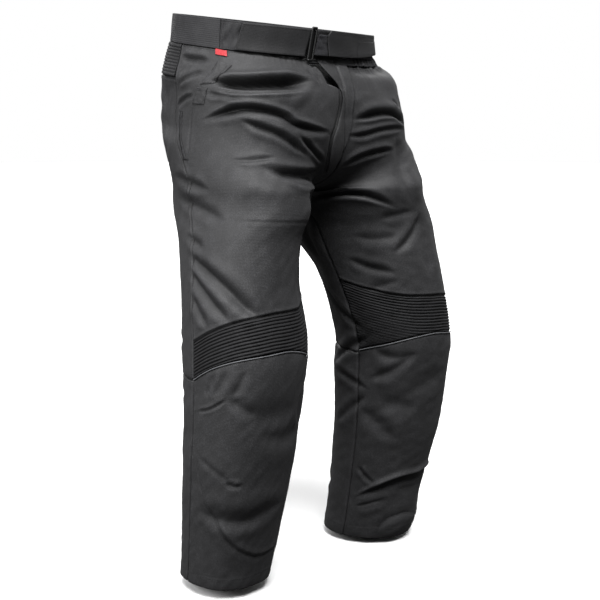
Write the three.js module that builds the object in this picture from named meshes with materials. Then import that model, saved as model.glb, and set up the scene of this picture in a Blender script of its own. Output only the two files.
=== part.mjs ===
// A pair of textile riding trousers, filled out and standing as if worn.
// Units are millimetres. +Z is up, the front faces -Y, the wearer's right leg is on -X.
// The origin is the centre of the waistband at half its height.
import * as THREE from 'three';

// Driving sizes
const WALL = 2.0;
const GAP = 0.15;
const SEAM = 0.3;
const COLUMNS = 12;
const RIBS = 12;
const BAND_TOP = 23.5;
const BAND_BOTTOM = -23.5;
const FRONT_TOP = -23.65;
const CORNER_DROP = 42;
const HIP_Z = -130;
const CROTCH_Z = -265;
const ARCH = 40;
const HEM_Z = -928;
const BACK_KNEE_Z = -561;
const YOKE_Z = -78;
const RIB_DEPTH = 1.6;
const WAIST_TILT = 0.162;
const LEG_TURN = 0.03;
const SIDE_TURN = 0.035;
const GIRTH = 640;

// Rings of the upper part, top down: height, half width, front depth, back depth, squareness, front cleft
const TORSO = [
  { z: 24, half: 197, front: 142, back: 143, square: 0.02, cleft: 0 },
  { z: -24, half: 203, front: 147, back: 148, square: 0.02, cleft: 0 },
  { z: -50, half: 214, front: 170, back: 140, square: 0.04, cleft: 3 },
  { z: -84, half: 229, front: 192, back: 128, square: 0.05, cleft: 12 },
  { z: -130, half: 235, front: 202, back: 120, square: 0.06, cleft: 20 },
  { z: -190, half: 238, front: 208, back: 120, square: 0.06, cleft: 20 },
  { z: -270, half: 238, front: 212, back: 116, square: 0.05, cleft: 8 },
];

// Rings of a leg, top down: height, inner x, outer x, front y, back y, outer edge pulled forward by
const LEG = [
  { z: -265, inner: 14, outer: 238, front: -204, back: 90, forward: 22 },
  { z: -350, inner: 34, outer: 260, front: -196, back: 42, forward: 22 },
  { z: -440, inner: 58, outer: 278, front: -206, back: 2, forward: 15 },
  { z: -530, inner: 76, outer: 286, front: -230, back: -14, forward: 9 },
  { z: -620, inner: 84, outer: 287, front: -222, back: -22, forward: 9 },
  { z: -720, inner: 90, outer: 284, front: -202, back: -18, forward: 7 },
  { z: -840, inner: 98, outer: 270, front: -170, back: -4, forward: 5 },
  { z: -928, inner: 104, outer: 258, front: -146, back: 12, forward: 4 },
];

// Upper edge and piped lower edge of the knee stretch panel, by place round the leg
const KNEE_TOP = [
  { u: 0, z: -428 },
  { u: 0.06, z: -440 },
  { u: 0.15, z: -450 },
  { u: 0.27, z: -452 },
  { u: 0.36, z: -461 },
  { u: 0.43, z: -478 },
  { u: 0.5, z: -501 },
];
const KNEE_BOTTOM = [
  { u: 0, z: -556 },
  { u: 0.06, z: -543 },
  { u: 0.15, z: -521 },
  { u: 0.22, z: -511 },
  { u: 0.28, z: -512 },
  { u: 0.36, z: -519 },
  { u: 0.43, z: -535 },
  { u: 0.5, z: -560 },
];

// Largest folds: leg (-1 right, 1 left, 0 both), start, end, half width and depth. Troughs have a minus depth.
const FOLDS = [
  { leg: -1, u0: 0.54, z0: -66, u1: 0.54, z1: -188, width: 58, depth: -9 },
  { leg: 1, u0: 0.13, z0: -66, u1: 0.49, z1: -70, width: 22, depth: 8 },
  { leg: -1, u0: 0.37, z0: -80, u1: 0.09, z1: -60, width: 17, depth: -8 },
  { leg: -1, u0: 0.4, z0: -148, u1: 0.22, z1: -118, width: 17, depth: -7 },
  { leg: -1, u0: 0.26, z0: -118, u1: 0.05, z1: -172, width: 17, depth: -7 },
  { leg: -1, u0: 0.32, z0: -222, u1: 0.05, z1: -232, width: 17, depth: -8 },
  { leg: -1, u0: 0.47, z0: -330, u1: 0.24, z1: -440, width: 20, depth: -6 },
  { leg: 1, u0: 0.0, z0: -134, u1: 0.3, z1: -126, width: 16, depth: -8 },
  { leg: 1, u0: 0.0, z0: -212, u1: 0.24, z1: -174, width: 16, depth: -6 },
  { leg: 1, u0: 0.05, z0: -285, u1: 0.27, z1: -308, width: 20, depth: -6 },
  { leg: 1, u0: 0.42, z0: -330, u1: 0.16, z1: -430, width: 20, depth: -5 },
  { leg: 0, u0: 0.94, z0: -235, u1: 0.6, z1: -270, width: 20, depth: -8 },
  { leg: 0, u0: 0.95, z0: -300, u1: 0.6, z1: -350, width: 20, depth: -6 },
  { leg: 0, u0: 0.95, z0: -510, u1: 0.55, z1: -505, width: 18, depth: -8 },
  { leg: 0, u0: 0.95, z0: -600, u1: 0.56, z1: -612, width: 20, depth: -8 },
  { leg: -1, u0: 0.44, z0: -765, u1: 0.08, z1: -772, width: 19, depth: -6 },
  { leg: 1, u0: 0.06, z0: -818, u1: 0.46, z1: -762, width: 18, depth: -9 },
  { leg: 0, u0: 0.92, z0: -715, u1: 0.56, z1: -760, width: 20, depth: -7 },
];

// Heights of a thigh front's rows as shares of the way from waistband to knee, closer round the crotch
const SIDE_JOIN = 0.1152;
const CROTCH_ROW = 0.52;
const THIGH_ROWS = [
  0, 0.055, SIDE_JOIN, 0.17, 0.23, 0.29, 0.35, 0.41, 0.455, 0.49, CROTCH_ROW, 0.545, 0.585, 0.64, 0.71, 0.79, 0.89, 1,
];

// Free edge and stitched edge of the fly placket, by height: plus is past the centre on the right half
const PLACKET = [
  { z: -25, edge: 0.05, stitch: -0.05 },
  { z: -46, edge: 0.028, stitch: -0.036 },
  { z: -68, edge: 0.008, stitch: -0.031 },
  { z: -110, edge: 0.013, stitch: -0.021 },
  { z: -138, edge: 0.028, stitch: -0.018 },
  { z: -163, edge: 0.048, stitch: -0.01 },
  { z: -186, edge: 0.052, stitch: 0.004 },
  { z: -214, edge: 0.045, stitch: 0.03 },
];
const PLACKET_FOOT = -214;

// The loop in the waist strap
const LOOP_G = 0.072;
const LOOP_OFF = 9;
const LOOP_WIRE = 1.7;

// Smooth interpolation of one named column of a top-down table.
function column(table, key, along, name) {
  const n = table.length - 1;
  const dir = Math.sign(table[n][key] - table[0][key]);
  const at = Math.min(Math.max(along * dir, table[0][key] * dir), table[n][key] * dir);
  let k = 0;
  while (k < n - 1 && at >= table[k + 1][key] * dir) k += 1;
  const slope = (i) => {
    const a = table[Math.max(i - 1, 0)];
    const b = table[Math.min(i + 1, n)];
    return (b[name] - a[name]) / ((b[key] - a[key]) * dir);
  };
  const h = (table[k + 1][key] - table[k][key]) * dir;
  const s = (at - table[k][key] * dir) / h;
  const p = (2 * s ** 3 - 3 * s ** 2 + 1) * table[k][name] + (3 * s ** 2 - 2 * s ** 3) * table[k + 1][name];
  return p + h * ((s ** 3 - 2 * s ** 2 + s) * slope(k) + (s ** 3 - s ** 2) * slope(k + 1));
}

const lerp = (a, b, t) => a + (b - a) * t;
const clamp = (x, lo, hi) => Math.min(Math.max(x, lo), hi);
const smooth = (x) => x * x * (3 - 2 * x);

// Sum of the folds at one place of a leg.
function fold(u, z, side) {
  let sum = 0;
  for (const f of FOLDS) {
    if (f.leg !== 0 && f.leg !== side) continue;
    const ax = (f.u1 - f.u0) * GIRTH;
    const az = f.z1 - f.z0;
    const length = Math.hypot(ax, az);
    const px = (u - f.u0) * GIRTH;
    const pz = z - f.z0;
    const t = (px * ax + pz * az) / length ** 2;
    const across = (px * az - pz * ax) / length;
    if (t <= 0 || t >= 1) continue;
    const ends = smooth(clamp(Math.min(t, 1 - t) * 4, 0, 1));
    sum += f.depth * ends * Math.exp(-((across / f.width) ** 2));
  }
  return sum;
}

// A point of the cloth's outer face before folds. u runs round one half: 0 centre front or inseam,
// 0.5 outseam, 1 centre back. z is the nominal height and side is -1 (right) or 1 (left).
function bare(u, z, side) {
  const turn = smooth(clamp((CROTCH_Z - z) / 60, 0, 1));
  const v = u + SIDE_TURN * Math.sin(Math.PI * u) ** 2 * (1 - turn);
  const ring = (name) => column(TORSO, 'z', z, name);
  const leg = (name) => column(LEG, 'z', z, name);
  const theta = Math.PI * v;
  const q = 1 - ring('square') * Math.cos(4 * theta);
  const depth = theta < Math.PI / 2 ? ring('front') : ring('back');
  const cleft = ring('cleft') * Math.max(0, 1 - Math.abs(u) / 0.2) ** 2;
  const tx = ring('half') * Math.sin(theta) * q;
  const ty = -Math.cos(theta) * depth * q + cleft;
  const phi = 2 * Math.PI * (v + LEG_TURN * turn);
  const drop = clamp((CROTCH_Z - z) / ARCH, 0, 1);
  const inner = leg('inner') * Math.sqrt(drop * (2 - drop));
  const centre = (inner + leg('outer')) / 2;
  const half = (leg('outer') - inner) / 2;
  const lq = 1 - 0.02 * Math.cos(4 * phi);
  const lx = centre - half * Math.cos(phi) * (Math.cos(phi) > 0 ? 1 : lq);
  const middle = (leg('front') + leg('back')) / 2;
  const span = (leg('back') - leg('front')) / 2;
  const ly = middle - Math.sin(phi) * span * lq + leg('forward') * Math.cos(phi);
  const tau = clamp((HIP_Z - z) / (HIP_Z - CROTCH_Z), 0, 1);
  const near = Math.cos(Math.PI * u) ** 2;
  const w = lerp(4 * tau ** 3 - 3 * tau ** 4, tau ** 3, near ** 4);
  const y = (1 - w) * ty + w * ly;
  const sink = HIP_Z - (HIP_Z - CROTCH_Z) * (tau + tau ** 2 - tau ** 3);
  const zin = z > HIP_Z || z < CROTCH_Z ? z : sink;
  const height = z + (zin - z) * near ** 2;
  const lean = WAIST_TILT * y * clamp((z + 220) / 150, 0, 1);
  return new THREE.Vector3(side * ((1 - w) * tx + w * lx), y, height + lean);
}

// Outward direction of the bare form.
function outward(u, z, side) {
  const e = 0.004;
  const a = bare(u + e, z, side).sub(bare(u - e, z, side));
  const b = bare(u, z - 2.5, side).sub(bare(u, z + 2.5, side));
  const n = b.cross(a).multiplyScalar(side);
  if (n.lengthSq() < 1e-9) return new THREE.Vector3(side, 0, 0);
  return n.normalize();
}

// A point of the folded cloth, moved out by `off`, kept on its own side of the middle plane.
function cloth(u, z, side, off = 0) {
  const p = bare(u, z, side);
  const n = outward(u, z, side);
  if (z > FRONT_TOP - 0.5) n.setZ(0).normalize();
  p.addScaledVector(n, off + fold(u, z, side));
  p.x = side * Math.max(side * p.x, GAP);
  return p;
}

// Round the whole garment: g 0 centre front, 0.5 right side, 1 centre back, 1.5 left side, 2 centre front.
function round(g, z, off = 0) {
  const k = ((g % 2) + 2) % 2;
  const side = k <= 1 ? -1 : 1;
  const u = k <= 1 ? k : 2 - k;
  const p = bare(u, z, side);
  const n = outward(u, z, side);
  if (u < 0.002 || u > 0.998) n.x = 0;
  if (z > FRONT_TOP - 0.5) n.z = 0;
  return p.addScaledVector(n.normalize(), off);
}

// A closed sheet: place(p, q, layer) gives the outer (0) and inner (1) point for p across and q down.
function sheet(cols, rows, place) {
  const points = [];
  for (let layer = 0; layer < 2; layer += 1) {
    for (let j = 0; j <= rows; j += 1) {
      for (let i = 0; i <= cols; i += 1) points.push(place(i / cols, j / rows, layer, j, i));
    }
  }
  const at = (i, j, layer) => layer * (rows + 1) * (cols + 1) + j * (cols + 1) + i;
  const faces = [];
  const quad = (a, b, c, d) => faces.push(a, b, c, a, c, d);
  for (let j = 0; j < rows; j += 1) {
    for (let i = 0; i < cols; i += 1) {
      quad(at(i, j, 0), at(i + 1, j, 0), at(i + 1, j + 1, 0), at(i, j + 1, 0));
      quad(at(i, j, 1), at(i, j + 1, 1), at(i + 1, j + 1, 1), at(i + 1, j, 1));
    }
  }
  for (let i = 0; i < cols; i += 1) {
    quad(at(i, 0, 1), at(i + 1, 0, 1), at(i + 1, 0, 0), at(i, 0, 0));
    quad(at(i, rows, 0), at(i + 1, rows, 0), at(i + 1, rows, 1), at(i, rows, 1));
  }
  for (let j = 0; j < rows; j += 1) {
    quad(at(0, j, 0), at(0, j + 1, 0), at(0, j + 1, 1), at(0, j, 1));
    quad(at(cols, j, 1), at(cols, j + 1, 1), at(cols, j + 1, 0), at(cols, j, 0));
  }
  return body(points, faces);
}

// A tube of `sides` along a line of points, closed at both ends, or a ring when `loop` is set.
function tube(line, radius, sides, loop = false) {
  const points = [];
  const faces = [];
  const n = line.length;
  line.forEach((p, k) => {
    const before = loop ? line[(k + n - 1) % n] : line[Math.max(k - 1, 0)];
    const after = loop ? line[(k + 1) % n] : line[Math.min(k + 1, n - 1)];
    const along = after.clone().sub(before).normalize();
    const up = new THREE.Vector3(0, 0, 1);
    if (Math.abs(along.z) > 0.9) up.set(0, 1, 0);
    const a = along.clone().cross(up).normalize();
    const b = a.clone().cross(along);
    for (let s = 0; s < sides; s += 1) {
      const t = (s / sides) * 2 * Math.PI;
      points.push(p.clone().addScaledVector(a, radius * Math.cos(t)).addScaledVector(b, radius * Math.sin(t)));
    }
  });
  const steps = loop ? n : n - 1;
  for (let k = 0; k < steps; k += 1) {
    for (let s = 0; s < sides; s += 1) {
      const a = k * sides + s;
      const b = k * sides + ((s + 1) % sides);
      const c = ((k + 1) % n) * sides + ((s + 1) % sides);
      const d = ((k + 1) % n) * sides + s;
      faces.push(a, b, c, a, c, d);
    }
  }
  if (!loop) {
    for (let s = 1; s < sides - 1; s += 1) {
      faces.push(0, s + 1, s);
      faces.push((n - 1) * sides, (n - 1) * sides + s, (n - 1) * sides + s + 1);
    }
  }
  return body(points, faces);
}

// An indexed geometry whose faces are turned outward.
function body(points, faces) {
  let volume = 0;
  for (let k = 0; k < faces.length; k += 3) {
    const [a, b, c] = [points[faces[k]], points[faces[k + 1]], points[faces[k + 2]]];
    volume += a.dot(b.clone().cross(c));
  }
  if (volume < 0) {
    for (let k = 0; k < faces.length; k += 3) [faces[k + 1], faces[k + 2]] = [faces[k + 2], faces[k + 1]];
  }
  const geometry = new THREE.BufferGeometry();
  geometry.setAttribute('position', new THREE.Float32BufferAttribute(points.flatMap((p) => [p.x, p.y, p.z]), 3));
  geometry.setIndex(faces);
  geometry.computeVertexNormals();
  return geometry;
}

const group = new THREE.Group();
group.name = 'riding_trousers';
function add(name, geometry, color) {
  const mesh = new THREE.Mesh(geometry, new THREE.MeshStandardMaterial({ color, roughness: 0.8 }));
  mesh.name = name;
  group.add(mesh);
}

const CLOTH = 0x3a3b3d;
const STRETCH = 0x2c2c2e;
const WEBBING = 0x2a2b2c;
const kneeTop = (u) => column(KNEE_TOP, 'u', u, 'z');
const kneeBottom = (u) => column(KNEE_BOTTOM, 'u', u, 'z');

// A leg panel of columns from u0 to u1. height(u, j) gives the row heights, the first and last at the seams.
function panel(side, rows, u0, u1, height, rib = 0) {
  const inset = SEAM / GIRTH;
  return sheet(COLUMNS, rows, (p, q, layer, j) => {
    const u = lerp(u0 + inset, u1 - inset, p);
    const trim = j === 0 ? -GAP : 0;
    const z = height(lerp(u0, u1, p), j) + (j === rows ? GAP : trim);
    const raised = rib && layer === 0 && j % 2 === 1 ? rib : 0;
    return cloth(u, z, side, layer === 0 ? raised : -WALL);
  });
}
const even = (top, bottom, rows) => (u, j) => lerp(top(u), bottom(u), j / rows);

// The point of a thigh front's faceted outer face at (u, z), moved out by `off`.
function onFront(side, height, u, z, off) {
  const a0 = clamp(u / 0.5, 0, 0.9999) * COLUMNS;
  const i = Math.floor(a0);
  const a = a0 - i;
  let j = 0;
  while (j < THIGH_ROWS.length - 2 && z < height(u, j + 1)) j += 1;
  const b = clamp((height(u, j) - z) / (height(u, j) - height(u, j + 1)), 0, 1);
  const corner = (di, dj) => {
    const v = (0.5 * (i + di)) / COLUMNS;
    return cloth(v, height(v, j + dj), side);
  };
  const p = corner(0, 0);
  const far = corner(1, 1);
  const side1 = a >= b ? corner(1, 0) : corner(0, 1);
  const r = p.clone();
  if (a >= b) r.addScaledVector(side1.clone().sub(p), a).addScaledVector(far.clone().sub(side1), b);
  else r.addScaledVector(side1.clone().sub(p), b).addScaledVector(far.clone().sub(side1), a);
  return r.addScaledVector(outward(u, z, side), off);
}

// A small piece lying on a thigh front: a strip along a line from (u0, z0) to (u1, z1), `wide` across.
function patch(side, height, u0, z0, u1, z1, wide, cols, rows, lift, thick) {
  const ax = (u1 - u0) * GIRTH;
  const az = z1 - z0;
  const length = Math.hypot(ax, az);
  return sheet(cols, rows, (p, q, layer) => {
    const across = (p - 0.5) * wide;
    const u = lerp(u0, u1, q) - (across * az) / length / GIRTH;
    const z = lerp(z0, z1, q) + (across * ax) / length;
    return onFront(side, height, u, z, lift + (layer === 0 ? thick : 0));
  });
}

for (const [side, tag] of [[-1, 'right'], [1, 'left']]) {
  // The right front sags at its top corner, where the fly stands open.
  const corner = (u) => FRONT_TOP - (side < 0 ? CORNER_DROP * smooth(clamp(1 - u / 0.1, 0, 1)) : 0);
  const frontRow = (u, j) => {
    const f = THIGH_ROWS[j];
    if (f <= CROTCH_ROW) return lerp(corner(u), CROTCH_Z, f / CROTCH_ROW);
    return lerp(CROTCH_Z, kneeTop(u), (f - CROTCH_ROW) / (1 - CROTCH_ROW));
  };
  const first = THIGH_ROWS.indexOf(SIDE_JOIN);
  const shared = THIGH_ROWS.length - first;
  const backRow = (u, j) => {
    const t = 2 * u - 1;
    if (j === 0) return YOKE_Z;
    if (j < shared) return lerp(frontRow(0.5, first + j), frontRow(0, first + j), t);
    return lerp(lerp(kneeTop(0.5), kneeTop(0), t), BACK_KNEE_Z, (j - shared + 1) / 3);
  };
  add(`thigh_front_${tag}`, panel(side, THIGH_ROWS.length - 1, 0, 0.5, frontRow), CLOTH);
  add(`thigh_back_${tag}`, panel(side, shared + 2, 0.5, 1, backRow), CLOTH);
  add(`knee_stretch_${tag}`, panel(side, 2 * RIBS, 0, 0.5, even(kneeTop, kneeBottom, 2 * RIBS), RIB_DEPTH), STRETCH);
  add(`shin_front_${tag}`, panel(side, 12, 0, 0.5, even(kneeBottom, () => HEM_Z, 12)), CLOTH);
  add(`calf_back_${tag}`, panel(side, 12, 0.5, 1, even(() => BACK_KNEE_Z, () => HEM_Z, 12)), CLOTH);
  const line = [];
  for (let k = 0; k <= 20; k += 1) {
    const u = lerp(0.012, 0.488, k / 20);
    line.push(cloth(u, kneeBottom(u) - 1.6, side, 2.0));
  }
  add(`knee_piping_${tag}`, tube(line, 1.5, 5), 0x9a9a9c);
  add(`pocket_band_${tag}`, patch(side, frontRow, 0.313, -44, 0.359, -82, 22, 4, 8, 1.0, 1.2), CLOTH);
  add(`zip_garage_${tag}`, patch(side, frontRow, 0.37, -90, 0.385, -118, 24, 4, 5, 1.0, 1.2), CLOTH);
  add(`pocket_zip_${tag}`, patch(side, frontRow, 0.452, -136, 0.484, -208, 9, 2, 12, 1.0, 1.4), WEBBING);
}

// Back stretch yoke from side seam to side seam, ribbed across
add('back_yoke', sheet(16, 13, (p, q, layer, j) => {
  const g = lerp(0.5 + GAP / GIRTH, 1.5 - GAP / GIRTH, p);
  const raised = layer === 0 && j % 2 === 1 ? RIB_DEPTH : 0;
  return round(g, lerp(FRONT_TOP - GAP, YOKE_Z + GAP, q), layer === 0 ? raised : -WALL);
}), STRETCH);

// Waistband: elastic round the back, two cloth fronts, the left one lapped over the right
const band = (g0, g1, cols, off) => sheet(cols, 2, (p, q, layer) => (
  round(lerp(g0, g1, p), lerp(BAND_TOP, BAND_BOTTOM, q), layer === 0 ? off : off - WALL)
));
add('waistband_elastic', band(0.3315, 1.6685, 28, 0), WEBBING);
add('waistband_front_right', sheet(10, 2, (p, q, layer) => {
  const under = -2.6 * smooth(clamp((p - 0.7) / 0.15, 0, 1));
  return round(lerp(0.3305, 0.03, p), lerp(BAND_TOP, BAND_BOTTOM, q), layer === 0 ? under : under - WALL);
}), CLOTH);
add('waistband_front_left', band(1.6695, 2.052, 10, 0), CLOTH);

// Flap behind the fly opening, from front to front
add('fly_underlap', sheet(6, 7, (p, q, layer) => (
  round(lerp(-0.04, 0.09, p), lerp(-27, -150, q), layer === 0 ? -WALL - 5 : -WALL - 6.5)
)), WEBBING);

// Fly placket of the left front: its free edge is folded out at the top and its foot is rounded
add('fly_placket', sheet(3, 12, (p, q, layer) => {
  const z = lerp(FRONT_TOP - 0.4, PLACKET_FOOT, q);
  const g = lerp(column(PLACKET, 'z', z, 'edge'), column(PLACKET, 'z', z, 'stitch'), p);
  const side = g > 0 ? -1 : 1;
  const u = Math.abs(g);
  const n = outward(u, z, side);
  if (u < 0.003) n.x = 0;
  return bare(u, z, side).addScaledVector(n.normalize(), 1.0 + fold(u, z, side) + (layer === 0 ? 1.4 : 0));
}), CLOTH);

// Waist strap sewn at the right side, standing off further as it nears the loop
add('belt_strap_right', sheet(10, 3, (p, q, layer) => {
  const g = lerp(0.29, LOOP_G + 0.0124, p) + (q - 0.5) * 0.016 * (1 - p);
  return round(g, lerp(22, -22.5, q) - 3 * p, lerp(0.4, LOOP_OFF - 1, smooth(p)) + (layer === 0 ? WALL : 0));
}), WEBBING);

// Pile strip passing from the loop to under the left tab, and the tab over it
add('belt_pile_strip', sheet(8, 2, (p, q, layer) => (
  round(lerp(LOOP_G - 0.0124, -0.2, p), lerp(15, -19, q), lerp(LOOP_OFF - 1, 0.4, p) + (layer === 0 ? 1.6 : 0))
)), WEBBING);
add('belt_tab_left', sheet(12, 3, (p, q, layer) => {
  const chamfer = p === 0 && q < 0.2 ? 0.012 : 0;
  const high = lerp(LOOP_OFF + 0.6, 4.4, smooth(clamp(p / 0.72, 0, 1)));
  const off = lerp(high, 0.4, smooth(clamp((p - 0.72) / 0.28, 0, 1)));
  return round(lerp(0.03 - chamfer, -0.29, p), lerp(23, -19, q), off + (layer === 0 ? WALL : 0));
}), WEBBING);

// Rectangular loop that joins strap and strip, seen on edge
const loopCentre = round(LOOP_G, -2, LOOP_OFF);
const loopOut = outward(LOOP_G, -3, -1).setZ(0).normalize();
const loopAlong = new THREE.Vector3(0, 0, 1).cross(loopOut).normalize();
const loopUp = new THREE.Vector3(0, 0.08, 1).normalize();
const corners = [[-5.5, -27], [5.5, -27], [5.5, 27], [-5.5, 27]];
const loopLine = [];
corners.forEach(([a, b], k) => {
  const [c, d] = corners[(k + 1) % 4];
  for (let s = 0; s < 3; s += 1) {
    const t = 0.12 + s * 0.38;
    loopLine.push(loopCentre.clone().addScaledVector(loopAlong, lerp(a, c, t)).addScaledVector(loopUp, lerp(b, d, t)));
  }
});
add('belt_loop', tube(loopLine, LOOP_WIRE, 6, true), 0x1a1a1b);

// Red tab sewn in under the waistband on the right
add('side_tab', sheet(2, 2, (p, q, layer) => (
  cloth(lerp(0.307, 0.342, p), lerp(-25.2, -34, q), -1, 1.1 + (layer === 0 ? 0.9 : 0))
)), 0xb3272d);

export default group;
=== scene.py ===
"""Black textile riding trousers, filled out and standing as if worn.

Every cloth piece is a surface over (u, z) on the garment's bare form, in millimetres, with its own folds,
seams and ribs as offsets along the outward direction. Objects are written in metres.
"""
from __future__ import annotations

import logging
import math
from collections.abc import Callable, Sequence
from dataclasses import dataclass
from enum import Enum

import bmesh
import bpy
import numpy as np
from mathutils import Matrix, Vector

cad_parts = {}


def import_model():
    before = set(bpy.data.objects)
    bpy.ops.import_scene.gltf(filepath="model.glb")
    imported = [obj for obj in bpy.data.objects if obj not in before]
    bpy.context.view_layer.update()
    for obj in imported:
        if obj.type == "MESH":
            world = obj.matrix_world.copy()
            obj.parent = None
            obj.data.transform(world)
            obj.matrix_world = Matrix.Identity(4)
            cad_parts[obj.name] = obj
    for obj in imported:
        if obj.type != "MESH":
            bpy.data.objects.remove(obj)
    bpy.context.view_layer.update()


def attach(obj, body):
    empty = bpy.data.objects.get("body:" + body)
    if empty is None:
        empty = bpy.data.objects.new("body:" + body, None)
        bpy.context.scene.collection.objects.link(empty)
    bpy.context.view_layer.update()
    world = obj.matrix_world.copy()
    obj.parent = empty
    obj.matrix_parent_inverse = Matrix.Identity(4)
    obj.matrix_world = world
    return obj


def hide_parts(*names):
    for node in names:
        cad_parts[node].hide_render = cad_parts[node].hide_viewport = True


Array = np.ndarray
Heights = Callable[[Array], Array]
# Distance out from the bare form, from places along and down a strip
Offsets = Callable[[Array, Array], Array]
Pair = tuple[float, float]
# Two arrays that belong together: points and quads, points and cloth coordinates, or places
Arrays = tuple[Array, Array]
Looks = dict[str, bpy.types.Material]
Socket = bpy.types.NodeSocket
LOG = logging.getLogger("riding_trousers")

MM = 0.001
# Cloth length in millimetres that one unit of u (round a leg) or g (round half the waist) stands for
GIRTH = 640.0
WAIST_GIRTH = 550.0
# Heights in millimetres from the waistband's middle, and the rise of the arch between the legs
HIP_Z = -130.0
CROTCH_Z = -265.0
ARCH = 40.0
HEM_Z = -928.0
BACK_KNEE_Z = -561.0
YOKE_Z = -78.0
BAND_TOP = 23.5
BAND_BOTTOM = -23.5
FRONT_TOP = -23.65
LAP_BOTTOM = -30.5
# The yoke's top lies behind the elastic, whose lower edge covers it
YOKE_TOP = -20.8
# The last step of the right front's top edge, down to its slipped corner at the fly
CORNER_DROP = 26.0
# Rise per millimetre of the waist towards the back, and turns of the rings in shares of u
WAIST_TILT = 0.162
LEG_TURN = 0.03
SIDE_TURN = 0.035
# The length over which a leg's own taper is eased in below the crotch
TAPER = 70.0
# The belt loop: place round the waist, slant in g per millimetre of height, distance out
LOOP_G = 0.080
LOOP_SLANT = 0.00056
LOOP_OFF = 9.0
# A fold's end fade as a share of its length, and its ridges' distance and width in trough widths
FOLD_FADE = 0.28
RIDGE_AT = 1.9
RIDGE_WIDTH = 1.25
# Sizes in millimetres of the noise in every finish: blotches of wear, flecks of yarn, and the bump's grain.
# Flecks and grain are a few times coarser than real yarn, so that they show at the photograph's distance.
BLOTCH = 22.222
FLECK = 1.5385
GRAIN = 2.0833
# Noise of a smooth and of a fuzzy surface, in millimetres
SMOOTH_GRAIN = 2.0
FUZZ_GRAIN = 0.7143
# How far round a spot the cloth is looked at for the painted shade in its creases, in millimetres, and the
# share of the tint that the painted shade leaves in the deepest crease
CREASE_REACH = 36.0
CREASE_SHADE_FLOOR = 0.22

# Rings of the upper part: height, half width, front depth, back depth, squareness, front cleft
TORSO = np.array([
    (24, 197, 142, 143, 0.02, 0),
    (-24, 203, 147, 148, 0.02, 0),
    (-50, 214, 170, 140, 0.04, 3),
    (-84, 229, 192, 128, 0.05, 12),
    (-130, 235, 202, 120, 0.06, 20),
    (-190, 238, 208, 120, 0.06, 20),
    (-270, 238, 212, 116, 0.05, 8),
], float)

# Rings of a leg: height, inner x, outer x, front y, back y, outer edge pulled forward by
LEG = np.array([
    (-265, 14, 238, -204, 90, 22),
    (-350, 34, 260, -203, 42, 22),
    (-440, 58, 278, -213, 2, 15),
    (-530, 76, 286, -230, -14, 9),
    (-620, 84, 287, -219, -22, 9),
    (-720, 90, 284, -202, -18, 7),
    (-840, 98, 270, -170, -4, 5),
    (-928, 104, 258, -146, 12, 4),
], float)

# Edges of the knee stretch panel: place round the leg, upper height, lower height
KNEE = np.array([
    (0.0, -428, -556),
    (0.06, -440, -543),
    (0.15, -450, -521),
    (0.22, -451, -511),
    (0.28, -452, -512),
    (0.36, -461, -519),
    (0.43, -478, -535),
    (0.5, -501, -560),
], float)

# Fly placket: height, free edge and stitched edge, plus is past the centre on the right half
PLACKET = np.array([
    (-25, 0.062, -0.050),
    (-46, 0.038, -0.036),
    (-68, 0.012, -0.031),
    (-110, 0.013, -0.021),
    (-138, 0.028, -0.018),
    (-163, 0.048, -0.010),
    (-186, 0.052, 0.004),
    (-214, 0.045, 0.030),
], float)


class Side(Enum):
    """The wearer's leg, with its sign along X."""

    RIGHT = -1
    LEFT = 1

    @property
    def tag(self) -> str:
        """The ending of the leg's node names."""
        return self.name.lower()


class Edge(Enum):
    """How a panel's border is finished."""

    FREE = 0
    PLAIN = 1
    WELTED = 2


def smooth(x: Array) -> Array:
    """Smooth step: 3x squared less 2x cubed, for x from 0 to 1.

    Args:
        x: values, clipped to 0 to 1.

    Returns:
        The eased values.
    """
    x = np.clip(x, 0.0, 1.0)
    return x * x * (3 - 2 * x)


def bell(x: Array, width: float | Array) -> Array:
    """A bell curve: e to the power of minus the square of x over width, so 1 where x is 0."""
    return np.exp(-((x / width) ** 2))


def column(table: Array, at: Array, falling: bool = True) -> Array:
    """Cubic through every column of a table, with slopes from the rows on either side.

    Args:
        table: rows of (key, values...).
        at: the keys wanted.
        falling: whether the table's keys fall from row to row.

    Returns:
        Array of at's shape and one more axis, a value for each column.
    """
    sign = -1.0 if falling else 1.0
    keys, values = sign * table[:, 0], table[:, 1:]
    n = len(keys) - 1
    x = np.clip(sign * np.asarray(at, float), keys[0], keys[-1])
    lo, hi = np.maximum(np.arange(n + 1) - 1, 0), np.minimum(np.arange(n + 1) + 1, n)
    slope = (values[hi] - values[lo]) / (keys[hi] - keys[lo])[:, None]
    k = np.clip(np.searchsorted(keys, x, side="right") - 1, 0, n - 1)
    h = (keys[k + 1] - keys[k])[..., None]
    s = (x - keys[k])[..., None] / h
    rise = (3 - 2 * s) * s**2
    curl = h * ((s**3 - 2 * s**2 + s) * slope[k] + (s**3 - s**2) * slope[k + 1])
    return (1 - rise) * values[k] + rise * values[k + 1] + curl


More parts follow.
